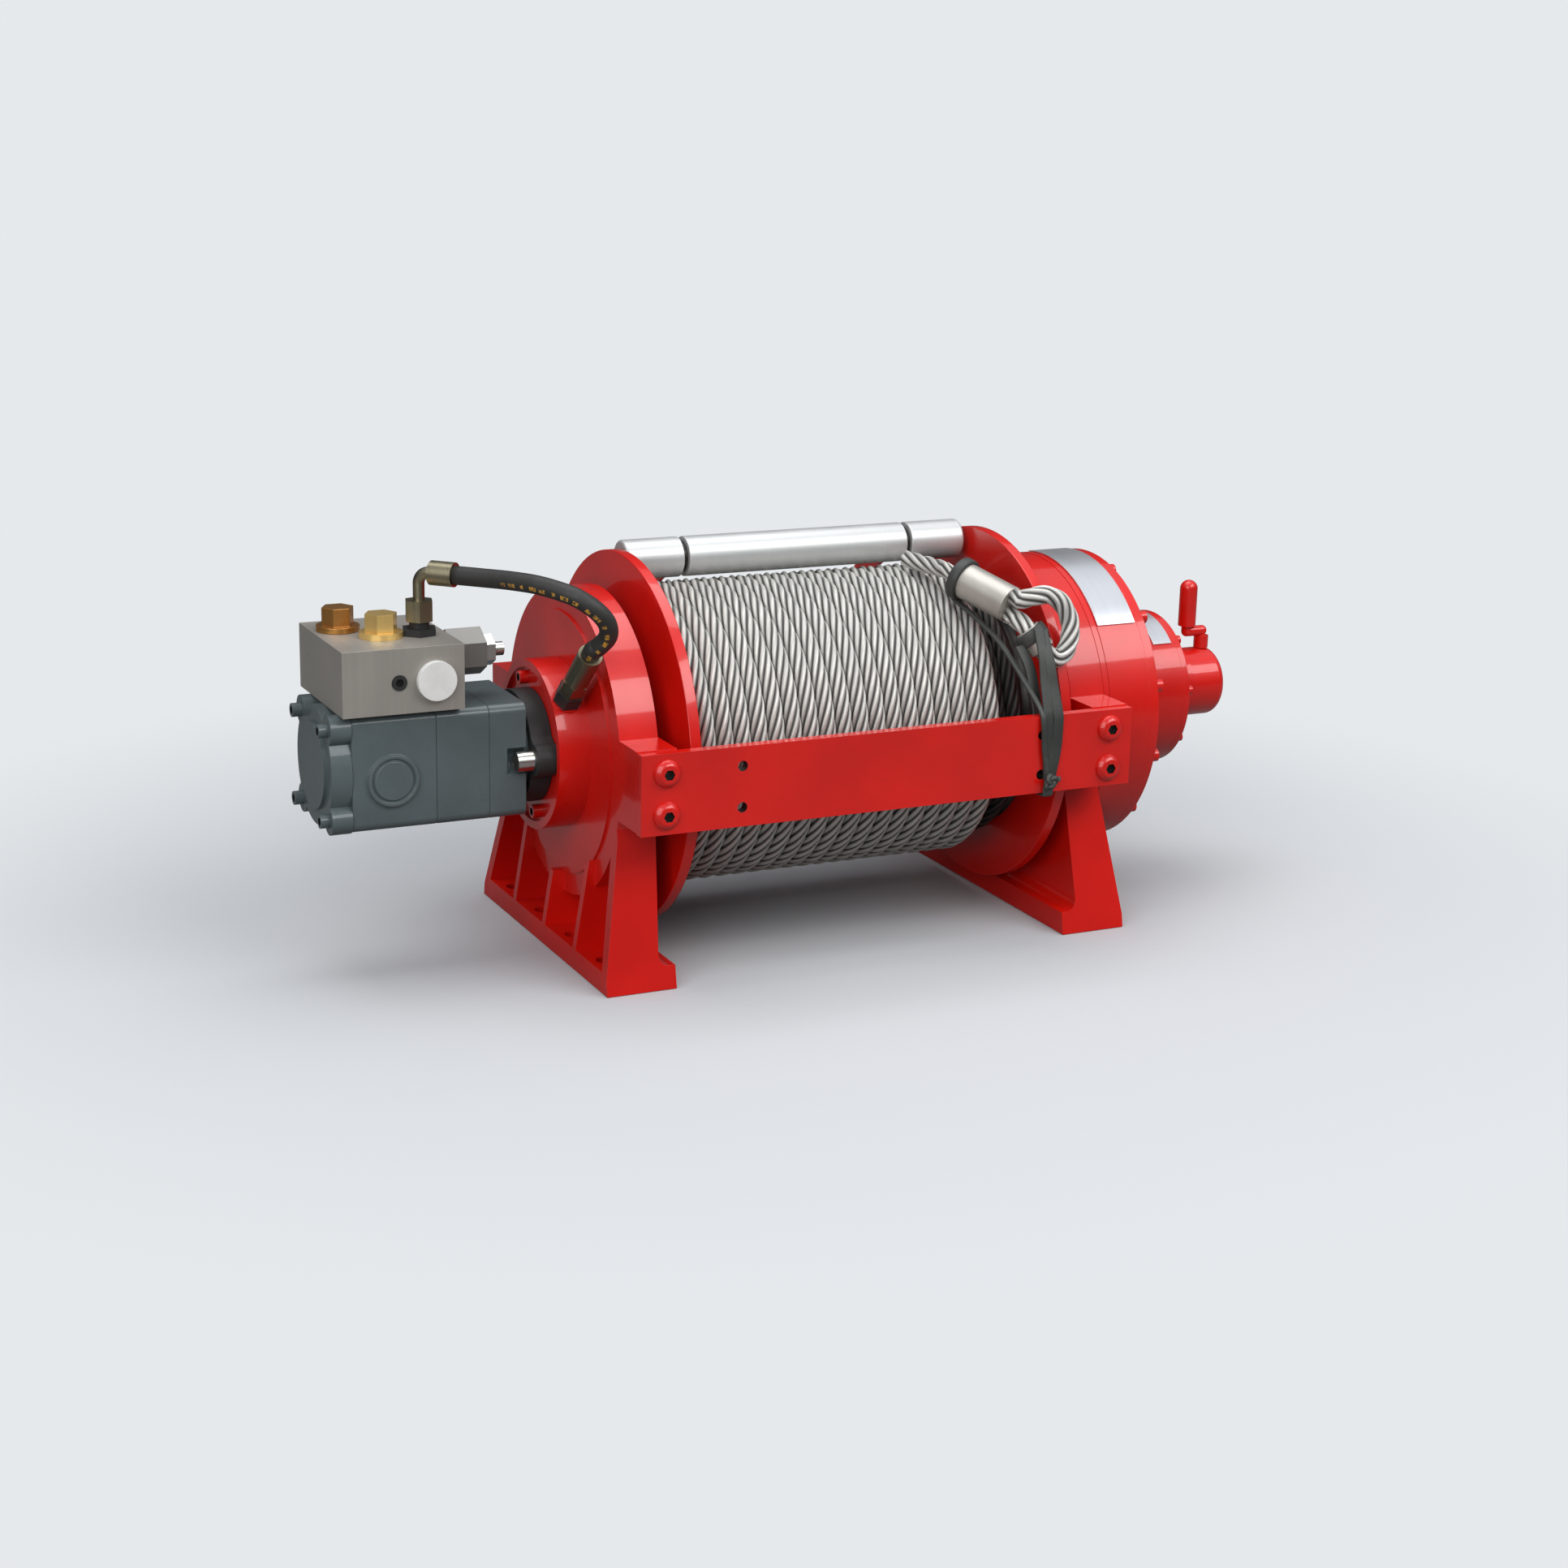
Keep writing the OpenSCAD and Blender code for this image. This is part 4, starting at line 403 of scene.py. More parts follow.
class Effects:
    """The shared shader groups, each built once."""

    def __init__(self) -> None:
        """Builds every group: its inputs after Vector, its outputs, and the method that lays its nodes."""
        self.groups = {}
        for effect, inputs, outputs, lay in (
                (Effect.CAST, ["Scale"], ["Height", "Tone"], self.cast),
                (Effect.BRUSHED, ["Scale"], ["Height", "Tone"], self.brushed),
                (Effect.GRIME, ["Scale", "Amount"], ["Mask"], self.grime),
                (Effect.SCUFFS, ["Scale"], ["Mask"], self.scuffs),
                (Effect.WIRES, ["Wires", "Strands"], ["Height", "Valley", "Tone"], self.wires)):
            group = bpy.data.node_groups.new(effect.value, "ShaderNodeTree")
            group.interface.new_socket("Vector", in_out="INPUT", socket_type="NodeSocketVector")
            for side, names in (("INPUT", inputs), ("OUTPUT", outputs)):
                for name in names:
                    group.interface.new_socket(name, in_out=side, socket_type="NodeSocketFloat")
            tree = Tree(group)
            given = tree.add("NodeGroupInput").outputs
            tree.add("NodeGroupOutput", lay(tree, *(given[name] for name in ["Vector", *inputs])))
            self.groups[effect] = group

    @staticmethod
    def cast(tree: Tree, at: Socket, scale: Socket) -> dict:
        """Painted or bare cast skin.

        Args:
            tree: the group's tree.
            at: the place on the surface.
            scale: lumps in a metre.
        Returns:
            Height, of low lumps with a fine pebble over them, and Tone, of wide clouds.
        """
        lumps = tree.noise(at, scale, detail=4.0).outputs[0]
        pebble = tree.noise(at, tree.product(scale, 9.0)).outputs[0]
        tone = tree.noise(at, tree.product(scale, 0.12), detail=5.0).outputs[0]
        return {"Height": tree.math("MULTIPLY_ADD", pebble, 0.35, lumps), "Tone": tone}

    @staticmethod
    def brushed(tree: Tree, at: Socket, scale: Socket) -> dict:
        """Machining or brushing lines across the first direction.

        Args:
            tree: the group's tree.
            at: the place on the surface.
            scale: lines in a metre.
        Returns:
            Height, of noise drawn out along the other two directions, and Tone, half lines and half cloud.
        """
        lines = tree.noise(tree.stretched(at, (1.0, 0.03, 0.03)), scale, detail=6.0).outputs[0]
        cloud = tree.noise(at, 18.0, detail=4.0).outputs[0]
        return {"Height": lines, "Tone": tree.math("MULTIPLY_ADD", lines, 0.5, tree.product(cloud, 0.5))}

    @staticmethod
    def grime(tree: Tree, at: Socket, scale: Socket, amount: Socket) -> dict:
        """Soft-edged patches of dirt.

        Args:
            tree: the group's tree.
            at: the place on the surface.
            scale: patches in a metre.
            amount: from 0 to 1; the patches are wider where it is higher.
        Returns:
            Mask, which is one where noise passes a level.
        """
        noise = tree.noise(at, scale, detail=7.0, roughness=0.62).outputs[0]
        edge = tree.math("SUBTRACT", 0.78, tree.product(amount, 0.4))
        return {"Mask": tree.spread(noise, edge, tree.math("ADD", edge, 0.16))}

    @staticmethod
    def scuffs(tree: Tree, at: Socket, scale: Socket) -> dict:
        """Sparse hair scratches.

        Args:
            tree: the group's tree.
            at: the place on the surface.
            scale: scratches in a metre.
        Returns:
            Mask: the thin crossing lines of a bent cell pattern, broken up by noise.
        """
        bend = tree.noise(at, 30.0).outputs[1]
        bent = tree.add("VectorMath", {0: bend, 1: (0.02, 0.02, 0.02), 2: at},
                        operation="MULTIPLY_ADD").outputs[0]
        cells = tree.add("TexVoronoi", {"Vector": bent, "Scale": scale},
                         feature="DISTANCE_TO_EDGE").outputs[0]
        broken = tree.spread(tree.noise(at, 22.0, detail=3.0).outputs[0], 0.55, 0.7)
        return {"Mask": tree.product(tree.spread(cells, 0.0, 0.02, 1.0, 0.0), broken)}

    @staticmethod
    def wires(tree: Tree, at: Socket, wires: Socket, strands: Socket) -> dict:
        """The wires of a laid rope on its UV map.

        Args:
            tree: the group's tree.
            at: the place on the UV map.
            wires: ridges round the rope.
            strands: strands round the rope.
        Returns:
            Height, of sine ridges along the rope; Valley, which is one between the strands; and Tone.
        """
        parts = tree.add("SeparateXYZ", {0: at}).outputs
        phase = tree.product(tree.math("ADD", parts[0], parts[1]), wires, 2 * math.pi)
        ridge = tree.math("MULTIPLY_ADD", tree.math("SINE", phase), 0.5, 0.5)
        share = tree.math("FRACT", tree.product(parts[0], strands))
        folded = tree.math("ABSOLUTE", tree.math("MULTIPLY_ADD", share, 2.0, -1.0))
        valley = tree.math("SUBTRACT", 1.0, folded)
        tone = tree.noise(tree.stretched(at, (6.0, 1.5, 0.0)), 3.0, detail=5.0).outputs[0]
        return {"Height": ridge, "Valley": valley, "Tone": tone}

    def use(self, tree: Tree, effect: Effect, at: Socket, **values: float) -> bpy.types.bpy_prop_collection:
        """Places one of the groups in a material and gives its outputs."""
        return tree.add("Group", {"Vector": at, **values}, node_tree=self.groups[effect]).outputs


EFFECTS = Effects()


@dataclass(frozen=True)
class Finish:
    """A surface finish: the record's slot that it stands for, its colour, and a word for a second shade."""

    slot: str
    colour: Triple
    shade: str = ""
    roughness: float = 0.36

    def put_on(self, mesh: bpy.types.Mesh) -> None:
        """Makes the finish's material the only one of a mesh, and builds it the first time.

        Args:
            mesh: the mesh.
        """
        name = "finish_" + self.slot + self.shade
        material = bpy.data.materials.get(name)
        if material is None:
            material = bpy.data.materials.new(name)
            material.use_nodes = True
            tree = Tree(material.node_tree)
            place = tree.add("TexCoord").outputs
            shader = tree.add("BsdfPrincipled", self.dress(tree, place["Object"], place["UV"]))
            tree.add("OutputMaterial", {"Surface": shader.outputs[0]})
        mesh.materials.clear()
        mesh.materials.append(material)

    def dress(self, tree: Tree, at: Socket, wrap: Socket) -> dict:
        """Lays the finish's nodes.

        Args:
            tree: the material's tree.
            at: the place in the part's frame.
            wrap: the place on the UV map.
        Returns:
            The shader's inputs by name, each a value or the socket that feeds it.
        """
        raise NotImplementedError

    def clouded(self, tree: Tree, tone: Socket, dark: float, light: float, edge: float = 0.35) -> Socket:
        """The colour, from a darker to a lighter share of it as the tone goes from edge to one minus edge."""
        return tree.shade(tone, tinted(self.colour, dark), tinted(self.colour, light), edge, 1 - edge)

    def uneven(self, tree: Tree, tone: Socket, swing: float) -> Socket:
        """The roughness, which swings about its middle with the tone."""
        return tree.math("MULTIPLY_ADD", tone, swing, self.roughness - swing / 2)


@dataclass(frozen=True)
class Paint(Finish):
    """Sprayed enamel over a cast or milled part, with a thin skin of lacquer, dust and hair scratches."""

    roughness: float = 0.34
    coat: float = 0.25
    grain: float = 90.0
    depth: float = 0.0004

    def dress(self, tree: Tree, at: Socket, wrap: Socket) -> dict:
        """Lays clouded enamel that is darker and duller where dust and scratches lie."""
        skin = EFFECTS.use(tree, Effect.CAST, at, Scale=self.grain)
        dust = EFFECTS.use(tree, Effect.GRIME, at, Scale=14.0, Amount=0.35)["Mask"]
        scuffs = EFFECTS.use(tree, Effect.SCUFFS, at, Scale=38.0)["Mask"]
        mark = tree.math("MAXIMUM", tree.product(dust, 0.22), tree.product(scuffs, 0.3))
        body = self.clouded(tree, skin["Tone"], 0.9, 1.08)
        rough = self.uneven(tree, skin["Tone"], 0.12)
        return {"Base Color": tree.mixed(mark, body, tinted(self.colour, 0.55)),
                "Roughness": tree.math("ADD", rough, tree.product(mark, 0.5)),
                "Coat Weight": self.coat, "Coat Roughness": 0.07, "Specular IOR Level": 0.3,
                "Normal": tree.raised(skin["Height"], 0.35, self.depth)}


@dataclass(frozen=True)
class Metal(Finish):
    """Bare or plated metal with turning or brushing lines and a little dirt."""

    roughness: float = 0.35
    metallic: float = 1.0
    lines: float = 700.0
    depth: float = 0.00006
    dirt: float = 0.3
    dirt_share: float = 0.45
    streaks: float = 1.0

    def dress(self, tree: Tree, at: Socket, wrap: Socket) -> dict:
        """Lays streaked metal that is darker and duller where dirt lies."""
        brushed = EFFECTS.use(tree, Effect.BRUSHED, at, Scale=self.lines)
        dirt = EFFECTS.use(tree, Effect.GRIME, at, Scale=60.0, Amount=self.dirt)["Mask"]
        mark = tree.product(dirt, 0.6)
        body = self.clouded(tree, brushed["Tone"], 1 - 0.16 * self.streaks, 1 + 0.1 * self.streaks)
        rough = self.uneven(tree, brushed["Tone"], 0.16)
        return {"Base Color": tree.mixed(mark, body, tinted(self.colour, self.dirt_share)),
                "Roughness": tree.math("ADD", rough, tree.product(mark, 0.3)), "Metallic": self.metallic,
                "Normal": tree.raised(brushed["Height"], 0.4, self.depth)}


@dataclass(frozen=True)
class WireRope(Finish):
    """Galvanised laid rope: bright wire crowns, and near-black valleys between the strands that stand for
    grease and painted shade.
    """

    metallic: float = 0.4
    wires: float = 48.0
    strands: float = 6.0
    valley_grease_and_shade_share: float = 0.05
    grease_roughness: float = 0.75

    def dress(self, tree: Tree, at: Socket, wrap: Socket) -> dict:
        """Lays clouded wire, darkened by grease and painted shade from partway down the valleys."""
        laid = EFFECTS.use(tree, Effect.WIRES, wrap, Wires=self.wires, Strands=self.strands)
        body = self.clouded(tree, laid["Tone"], 0.8, 1.15, edge=0.3)
        deep = tree.spread(laid["Valley"], 0.4, 0.85)
        # The valleys' dark colour is partly grease and partly painted shade between the strands.
        grease_and_shade = tinted(self.colour, self.valley_grease_and_shade_share)
        return {"Base Color": tree.mixed(tree.product(deep, 0.92), body, grease_and_shade), "Metallic": self.metallic,
                "Roughness": tree.spread(deep, 0.0, 1.0, self.roughness, self.grease_roughness),
                "Normal": tree.raised(laid["Height"], 0.6, 0.0003)}


@dataclass(frozen=True)
class Rubber(Finish):
    """Black rubber; a hose also has a printed line of dashes along one side of its UV map."""

    roughness: float = 0.55
    grain: float = 260.0
    line: Optional[Triple] = None
    line_at: float = 0.0
    line_from: float = 0.045
    dash_rate: float = 620.0
    beat_rate: float = 232.0

    def dress(self, tree: Tree, at: Socket, wrap: Socket) -> dict:
        """Lays clouded rubber with pale dust, and the print where there is one."""
        skin = EFFECTS.use(tree, Effect.CAST, at, Scale=self.grain)
        dust = tree.product(EFFECTS.use(tree, Effect.GRIME, at, Scale=45.0, Amount=0.5)["Mask"], 0.5)
        body = self.clouded(tree, skin["Tone"], 0.75, 1.3, edge=0.3)
        colour = tree.mixed(dust, body, tinted(self.colour, 2.2))
        if self.line is not None:
            colour = tree.mixed(self._print(tree, at, wrap), colour, self.line)
        return {"Base Color": colour, "Roughness": self.uneven(tree, skin["Tone"], 0.2),
                "Normal": tree.raised(skin["Height"], 0.5, 0.0002)}

    def _print(self, tree: Tree, at: Socket, wrap: Socket) -> Socket:
        """The dashed line along the hose.

        Args:
            tree: the material's tree.
            at: the place in the part's frame.
            wrap: the place on the UV map, with the length in metres as V.
        Returns:
            A mask: bars where two sines of the length add up to more than a level, worn through by noise.
        """
        parts = tree.add("SeparateXYZ", {0: wrap}).outputs
        off = tree.math("ABSOLUTE", tree.math("SUBTRACT", parts[0], self.line_at))
        dash, beat = (tree.math("SINE", tree.product(parts[1], rate))
                      for rate in (self.dash_rate, self.beat_rate))
        bars = tree.spread(tree.math("MULTIPLY_ADD", beat, 0.7, dash), -0.15, 0.1)
        worn = tree.spread(tree.noise(at, 420.0, detail=4.0).outputs[0], 0.38, 0.55)
        begun = tree.spread(parts[1], self.line_from, self.line_from + 0.025)
        return tree.product(tree.spread(off, 0.034, 0.042, 1.0, 0.0), bars, worn, begun)


class Finishes:
    """Every finish of the winch."""

    RED = Paint("red_paint", linear(210, 20, 9), coat=0.75)
    MOTOR = Paint("motor_paint", linear(82, 93, 95), roughness=0.42, coat=0.5, grain=160.0, depth=0.0005)
    IRON = Paint("black_iron", linear(46, 46, 46), roughness=0.5, coat=0.0, grain=220.0)
    CAP = Paint("white_plastic", linear(226, 226, 222), roughness=0.5, coat=0.0, grain=300.0, depth=0.0002)
    BLOCK = Metal("block_metal", linear(162, 157, 149), roughness=0.42, metallic=0.4, lines=260.0,
                  streaks=0.4)
    GOLD = Metal("gold_zinc", linear(244, 206, 128), roughness=0.24, metallic=0.7, streaks=0.5)
    # The rear plug's copy of the zinc is darker and browner than the front one's: painted shade.
    GOLD_IN_PAINTED_SHADE = Metal("gold_zinc", linear(186, 132, 70), "_shaded", roughness=0.28, metallic=0.8, streaks=0.5)
    OLIVE = Metal("olive_zinc", linear(150, 142, 118), roughness=0.34)
    BRIGHT = Metal("bright_steel", linear(205, 203, 198), roughness=0.24)
    VALVE = Metal("bright_steel", linear(128, 126, 122), "_grey", roughness=0.4, metallic=0.5, streaks=0.4)
    DARK = Metal("dark_steel", linear(58, 56, 54), roughness=0.42, metallic=0.8)
    BRONZE = Metal("bronze", linear(170, 120, 66))
    SATIN = Metal("satin_silver", linear(204, 205, 204), roughness=0.42, metallic=0.55, lines=380.0, dirt=0.1,
                  dirt_share=0.8, streaks=0.2)
    PLATE = Metal("satin_silver", linear(226, 228, 232), "_plate", roughness=0.3, metallic=0.8, lines=380.0,
                  dirt=0.08, dirt_share=0.8, streaks=0.3)
    ALLOY = Metal("ferrule_alloy", linear(196, 192, 184), roughness=0.45, metallic=0.7, lines=120.0,
                  depth=0.0002)
    HOSE = Rubber("hose_rubber", linear(40, 39, 37), line=linear(196, 144, 50), line_at=0.3)
    STRAP = Rubber("strap_rubber", linear(56, 58, 55), roughness=0.5)
    ROPE = WireRope("wire_rope", linear(214, 212, 206))
    # The lower layers' rope is darkened far below its own colour: painted shade for the deep gap beside the
    # outer layer.
    ROPE_IN_PAINTED_SHADE = WireRope("wire_rope", linear(62, 60, 57), "_below_painted_shade")


# Pieces that stand for CAD nodes.

def add_piece(name: str, mesh: bpy.types.Mesh, finish: Finish, node: str) -> bpy.types.Object:
    """Puts a mesh into the scene as a piece of the winch.

    Args:
        name: the piece's name.
        mesh: its mesh, in metres in the part's frame.
        finish: its finish.
        node: the CAD node that it stands for, whose body carries it.
    Returns:
        The object, at the origin.
    """
    piece = bpy.data.objects.new(name, mesh)
    bpy.context.scene.collection.objects.link(piece)
    finish.put_on(mesh)
    body = frame["nodes"][node]["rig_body"]
    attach(piece, body)
    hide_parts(node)
    LOG.info("%s: %d points on %s", name, len(mesh.vertices), body)
    return piece


def lay(name: str, shell: Shell, finish: Finish, node: str) -> None:
    """Puts a new surface into the scene as a piece."""
    add_piece(name, shell.mesh(name), finish, node)


def round_off(name: str, mesh: bpy.types.Mesh, finish: Finish, node: str, width: float,
              segments: int) -> None:
    """Makes a piece of a CAD node's faces: doubled points merged, flat faces joined, edges slightly round.

    Args:
        name: the piece's name.
        mesh: the faces, as a mesh of their own.
        finish: its finish.
        node: the CAD node that they stand for.
        width: the width of the rounding in millimetres.
        segments: faces across the rounding.
    """
    work = bmesh.new()
    work.from_mesh(mesh)
    bmesh.ops.remove_doubles(work, verts=work.verts, dist=SAME_POINT)
    bmesh.ops.dissolve_limit(work, angle_limit=FLAT_ANGLE, verts=work.verts, edges=work.edges)
    work.to_mesh(mesh)
    work.free()
    mesh.polygons.foreach_set("use_smooth", np.ones(len(mesh.polygons), bool))
    piece = add_piece(name, mesh, finish, node)
    bevel = piece.modifiers.new("soft_edges", "BEVEL")
    bevel.width, bevel.segments = width * MM, segments
    bevel.limit_method, bevel.angle_limit = "ANGLE", EDGE_ANGLE
    bevel.use_clamp_overlap = bevel.harden_normals = True
    bevel.miter_outer = "MITER_ARC"
    even = piece.modifiers.new("even_shading", "WEIGHTED_NORMAL")
    even.mode, even.weight = "FACE_AREA", 100


def soften(finish: Finish, width: float, *nodes: str, segments: int = 2) -> None:
    """Stands for each CAD node with a merged copy whose edges are slightly round.

    Args:
        finish: the pieces' finish.
        width: the width of the rounding in millimetres.
        nodes: the CAD nodes.
        segments: faces across the rounding.
    """
    for node in nodes:
        round_off(node + "_finished", frame["nodes"][node].data.copy(), finish, node, width, segments)


def triangles_of(node: str) -> tuple[Array, Array]:
    """A CAD node's surface.

    Args:
        node: the CAD node.
    Returns:
        Its points in millimetres, and its triangles as numbers of points.
    """
    mesh = frame["nodes"][node].data
    mesh.calc_loop_triangles()
    points = np.empty(3 * len(mesh.vertices), np.float32)
    corners = np.empty(3 * len(mesh.loop_triangles), np.int32)
    mesh.vertices.foreach_get("co", points)
    mesh.loop_triangles.foreach_get("vertices", corners)
    return points.reshape(-1, 3) / MM, corners.reshape(-1, 3)


def divide(node: str, finishes: Sequence[tuple[str, Finish]], share_of: Callable[[Array], Array],
           width: float = 0.3) -> None:
    """Stands for a CAD node with one piece for each of its finishes.

    Args:
        node: the CAD node.
        finishes: the name and finish of each piece.
        share_of: gives the number of the piece that each triangle belongs to, from the triangles' centres.
        width: the width of the rounding in millimetres.
    """
    points, triangles = triangles_of(node)
    share = share_of(points[triangles].mean(axis=1))
    for number, (name, finish) in enumerate(finishes):
        chosen = triangles[share == number]
        used, corners = np.unique(chosen, return_inverse=True)
        shell = Shell(points[used], [corners.reshape(-1, 3)], [np.zeros((3 * len(chosen), 2))])
        round_off(name, shell.mesh(name), finish, node, width, 2)


def coat(finish: Finish, *nodes: str) -> None:
    """Gives CAD nodes their finish.

    Args:
        finish: the finish.
        nodes: the CAD nodes, which stay showing.
    """
    for node in nodes:
        finish.put_on(frame["nodes"][node].data)
        LOG.info("%s: coated with %s", node, finish.slot)


# The sub-assemblies.

@dataclass
class Stand:
    """The two cast brackets and the flat bars that tie them together."""

    casting_round: float = 1.2
    bar_round: float = 0.8
    screw_x: float = 214.0
    screw_z: float = 181.0
    screw_step: float = 18.0
    socket_r: float = 4.95
    hole_x: float = 145.0
    hole_r: float = 4.6

    def build(self) -> None:
        """Dresses the brackets, bars and their screws."""
        soften(Finishes.RED, self.casting_round, "left_bracket", "right_bracket")
        for node in ("front_tie_bar", "rear_tie_bar"):
            # The walls of the bars' holes are painted dark as shade, so the holes read black.
            divide(node, [(node + "_finished", Finishes.RED), (node + "_hole_walls_painted_shade", Finishes.DARK)],
                   lambda at: self.near_axis(at, self.hole_x, self.hole_r), self.bar_round)
        # The screws' sockets are painted dark as the shade inside them.
        divide("tie_bar_screws", [("bar_screw_heads", Finishes.RED), ("bar_screw_sockets_painted_shade", Finishes.DARK)],
               lambda at: self.near_axis(at, self.screw_x, self.socket_r))

    def near_axis(self, at: Array, x: float, radius: float) -> Array:
        """One for the faces within a radius of the holes or screws at x, and zero for the others."""
        off = np.hypot(np.abs(at[:, 0]) - x, np.abs(at[:, 2] - self.screw_z) - self.screw_step)
        return (off < radius).astype(int)


@dataclass
class Motor:
    """The hydraulic motor, its flange and its screws."""

    casting_round: float = 1.0
    end_x: float = -400.0
    end_screw: float = 39.0
    flange_screw_y: float = 53.2
    brake_screw_r: float = 59.0
    brake_screw_turn: float = 16.0
    socket_r: float = 3.9

    def build(self) -> None:
        """Dresses the motor's sections."""
        soften(Finishes.MOTOR, self.casting_round, "motor_bearing_housing", "motor_gerotor_set",
               "motor_port_housing", "motor_end_cover")
        soften(Finishes.IRON, self.casting_round, "motor_flange")
        coat(Finishes.BRIGHT, "motor_shaft")
        # The sockets of the end and brake screws are painted dark as the shade inside them.
        divide("motor_screws", [("flange_screws", Finishes.BRIGHT), ("end_screws", Finishes.MOTOR),
                                ("brake_screws", Finishes.RED), ("motor_screw_sockets_painted_shade", Finishes.DARK)],
               self.screw_share)

    def screw_share(self, at: Array) -> Array:
        """The set that each face of a screw belongs to.

        Args:
            at: the faces' centres.
        Returns:
            0 for the flange's screws, 1 for the end cover's, 2 for the brake's, and 3 for the faces near the
            axis of one of the last two sets, which are its socket and get painted shade.
        """
        y, z = at[:, 1], at[:, 2] - AXIS_Z
        turn = math.radians(self.brake_screw_turn)
        side = np.sign(z) * self.brake_screw_r
        end = np.hypot(np.abs(y) - self.end_screw, np.abs(z) - self.end_screw)
        flange = np.hypot(np.abs(y) - self.flange_screw_y, z)
        brake = np.hypot(y - math.sin(turn) * side, z - math.cos(turn) * side)
        share = np.where(at[:, 0] < self.end_x, 1, np.where(brake < flange, 2, 0))
        off = np.minimum(np.minimum(end, flange), brake)
        return np.where((off < self.socket_r) & (share > 0), 3, share)


@dataclass
class Brake:
    """The spring-applied disc brake between motor and bracket."""

    casting_round: float = 1.0

    def build(self) -> None:
        """Dresses the brake."""
        soften(Finishes.RED, self.casting_round, "brake_housing")
        coat(Finishes.DARK, "brake_springs", "brake_steel_discs", "brake_hub", "input_shaft")
        coat(Finishes.BRIGHT, "brake_piston")
        coat(Finishes.BRONZE, "brake_friction_discs")


@dataclass
class ValveBlock:
    """The block of valves on the motor, with its plugs and fittings."""

    milled_round: float = 0.6
    plug_round: float = 0.5
    nut_x: float = -314.0

    def build(self) -> None:
        """Dresses the block, plugs and fittings."""
        soften(Finishes.BLOCK, self.milled_round, "valve_block")
        # The rear plug gets a darker copy of the zinc, which is painted shade.
        soften(Finishes.GOLD_IN_PAINTED_SHADE, self.plug_round, "port_plug_rear")
        soften(Finishes.GOLD, self.plug_round, "port_plug_front")
        soften(Finishes.CAP, self.plug_round, "block_port_cap")
        divide("relief_valve", [("relief_body", Finishes.VALVE), ("relief_nut", Finishes.BRIGHT)],
               lambda at: (at[:, 0] > self.nut_x).astype(int))
        coat(Finishes.IRON, "block_socket_plug", "hose_adapters")
        coat(Finishes.OLIVE, "swivel_elbow", "hose_ferrules")


@dataclass
class Hose:
    """The brake hose, from the elbow on the block to the brake housing."""

    radius: float = 8.0
    start: Triple = (-348.0, -34.0, 347.0)
    end: Triple = (-254.0, -109.7, 287.3)
    elbow_angle: float = 45.0
    port_angle: float = 47.0
    lead: float = 8.0
    bends: tuple[Triple, ...] = (
        (-328.8, -55.8, 347.4), (-312.2, -78.9, 348.2), (-296.4, -102.7, 347.8), (-279.1, -124.2, 343.3),
        (-268.9, -132.1, 337.9), (-258.2, -135.9, 329.5), (-249.1, -134.5, 318.6), (-245.7, -128.3, 306.6),
        (-250.1, -119.5, 296.4))
    steps: int = 12
    count: int = 32

    def build(self) -> None:
        """Carries a round outline along the smooth curve through the bends, straight at both ends."""
        elbow, port = math.radians(self.elbow_angle), math.radians(self.port_angle)
        leave = np.array(self.start) + self.lead * np.array([math.cos(elbow), -math.sin(elbow), 0])
        enter = np.array(self.end) + self.lead * np.array([0, -math.sin(port), math.cos(port)])
        bent = smooth_through([leave, *self.bends, enter], self.steps)
        path = np.concatenate([[self.start], bent, [self.end]])
        lay("brake_hose_rubber", tube(path, carried(ways(path), Z), circle(self.radius, self.count)),
            Finishes.HOSE, "brake_hose")


@dataclass
class LaidRope:
    """A rope of round strands laid in a right-hand helix."""

    radius: float = 7.9
    lay_length: float = 96.0
    strands: int = 6
    per_strand: int = 6
    fill: float = 0.72

    def outline(self) -> Array:
        """Radius and angle of the rope's outline: the outer arcs of equal round strands that touch in a ring.

        A strand of radius s has its centre on a circle of radius c, with s = c * sin(half a strand's angle),
        and the arc is c * cos(a) + sqrt(s^2 - (c * sin(a))^2); valleys are filled to a share of the radius.

        Returns:
            The outline, as (points, 2).
        """
        angle = full_turn(self.strands * self.per_strand)
        half = math.pi / self.strands
        a = (angle + half) % (2 * half) - half
        centre = self.radius / (1 + math.sin(half))
        strand = centre * math.sin(half)
        arc = centre * np.cos(a) + np.sqrt(np.maximum(strand ** 2 - (centre * np.sin(a)) ** 2, 0))
        return np.stack([np.maximum(arc, self.fill * self.radius), angle], -1)

    def along(self, path: Array, sides: Array, start: float = 0.0) -> Shell:
        """The rope along a path: the outline turns once for each lay length.

        Args:
            path: the stations.
            sides: the unit vector from which angles count at each station.
            start: the length of rope before the first station.
        Returns:
            The closed shell; U goes round the rope with its strands and V counts lay lengths.
        """
        turns = (lengths(path) + start) / self.lay_length
        outline = np.repeat(self.outline()[None], len(path), 0)
        outline[..., 1] += 2 * math.pi * turns[:, None]
        return tube(path, sides, outline, turns)


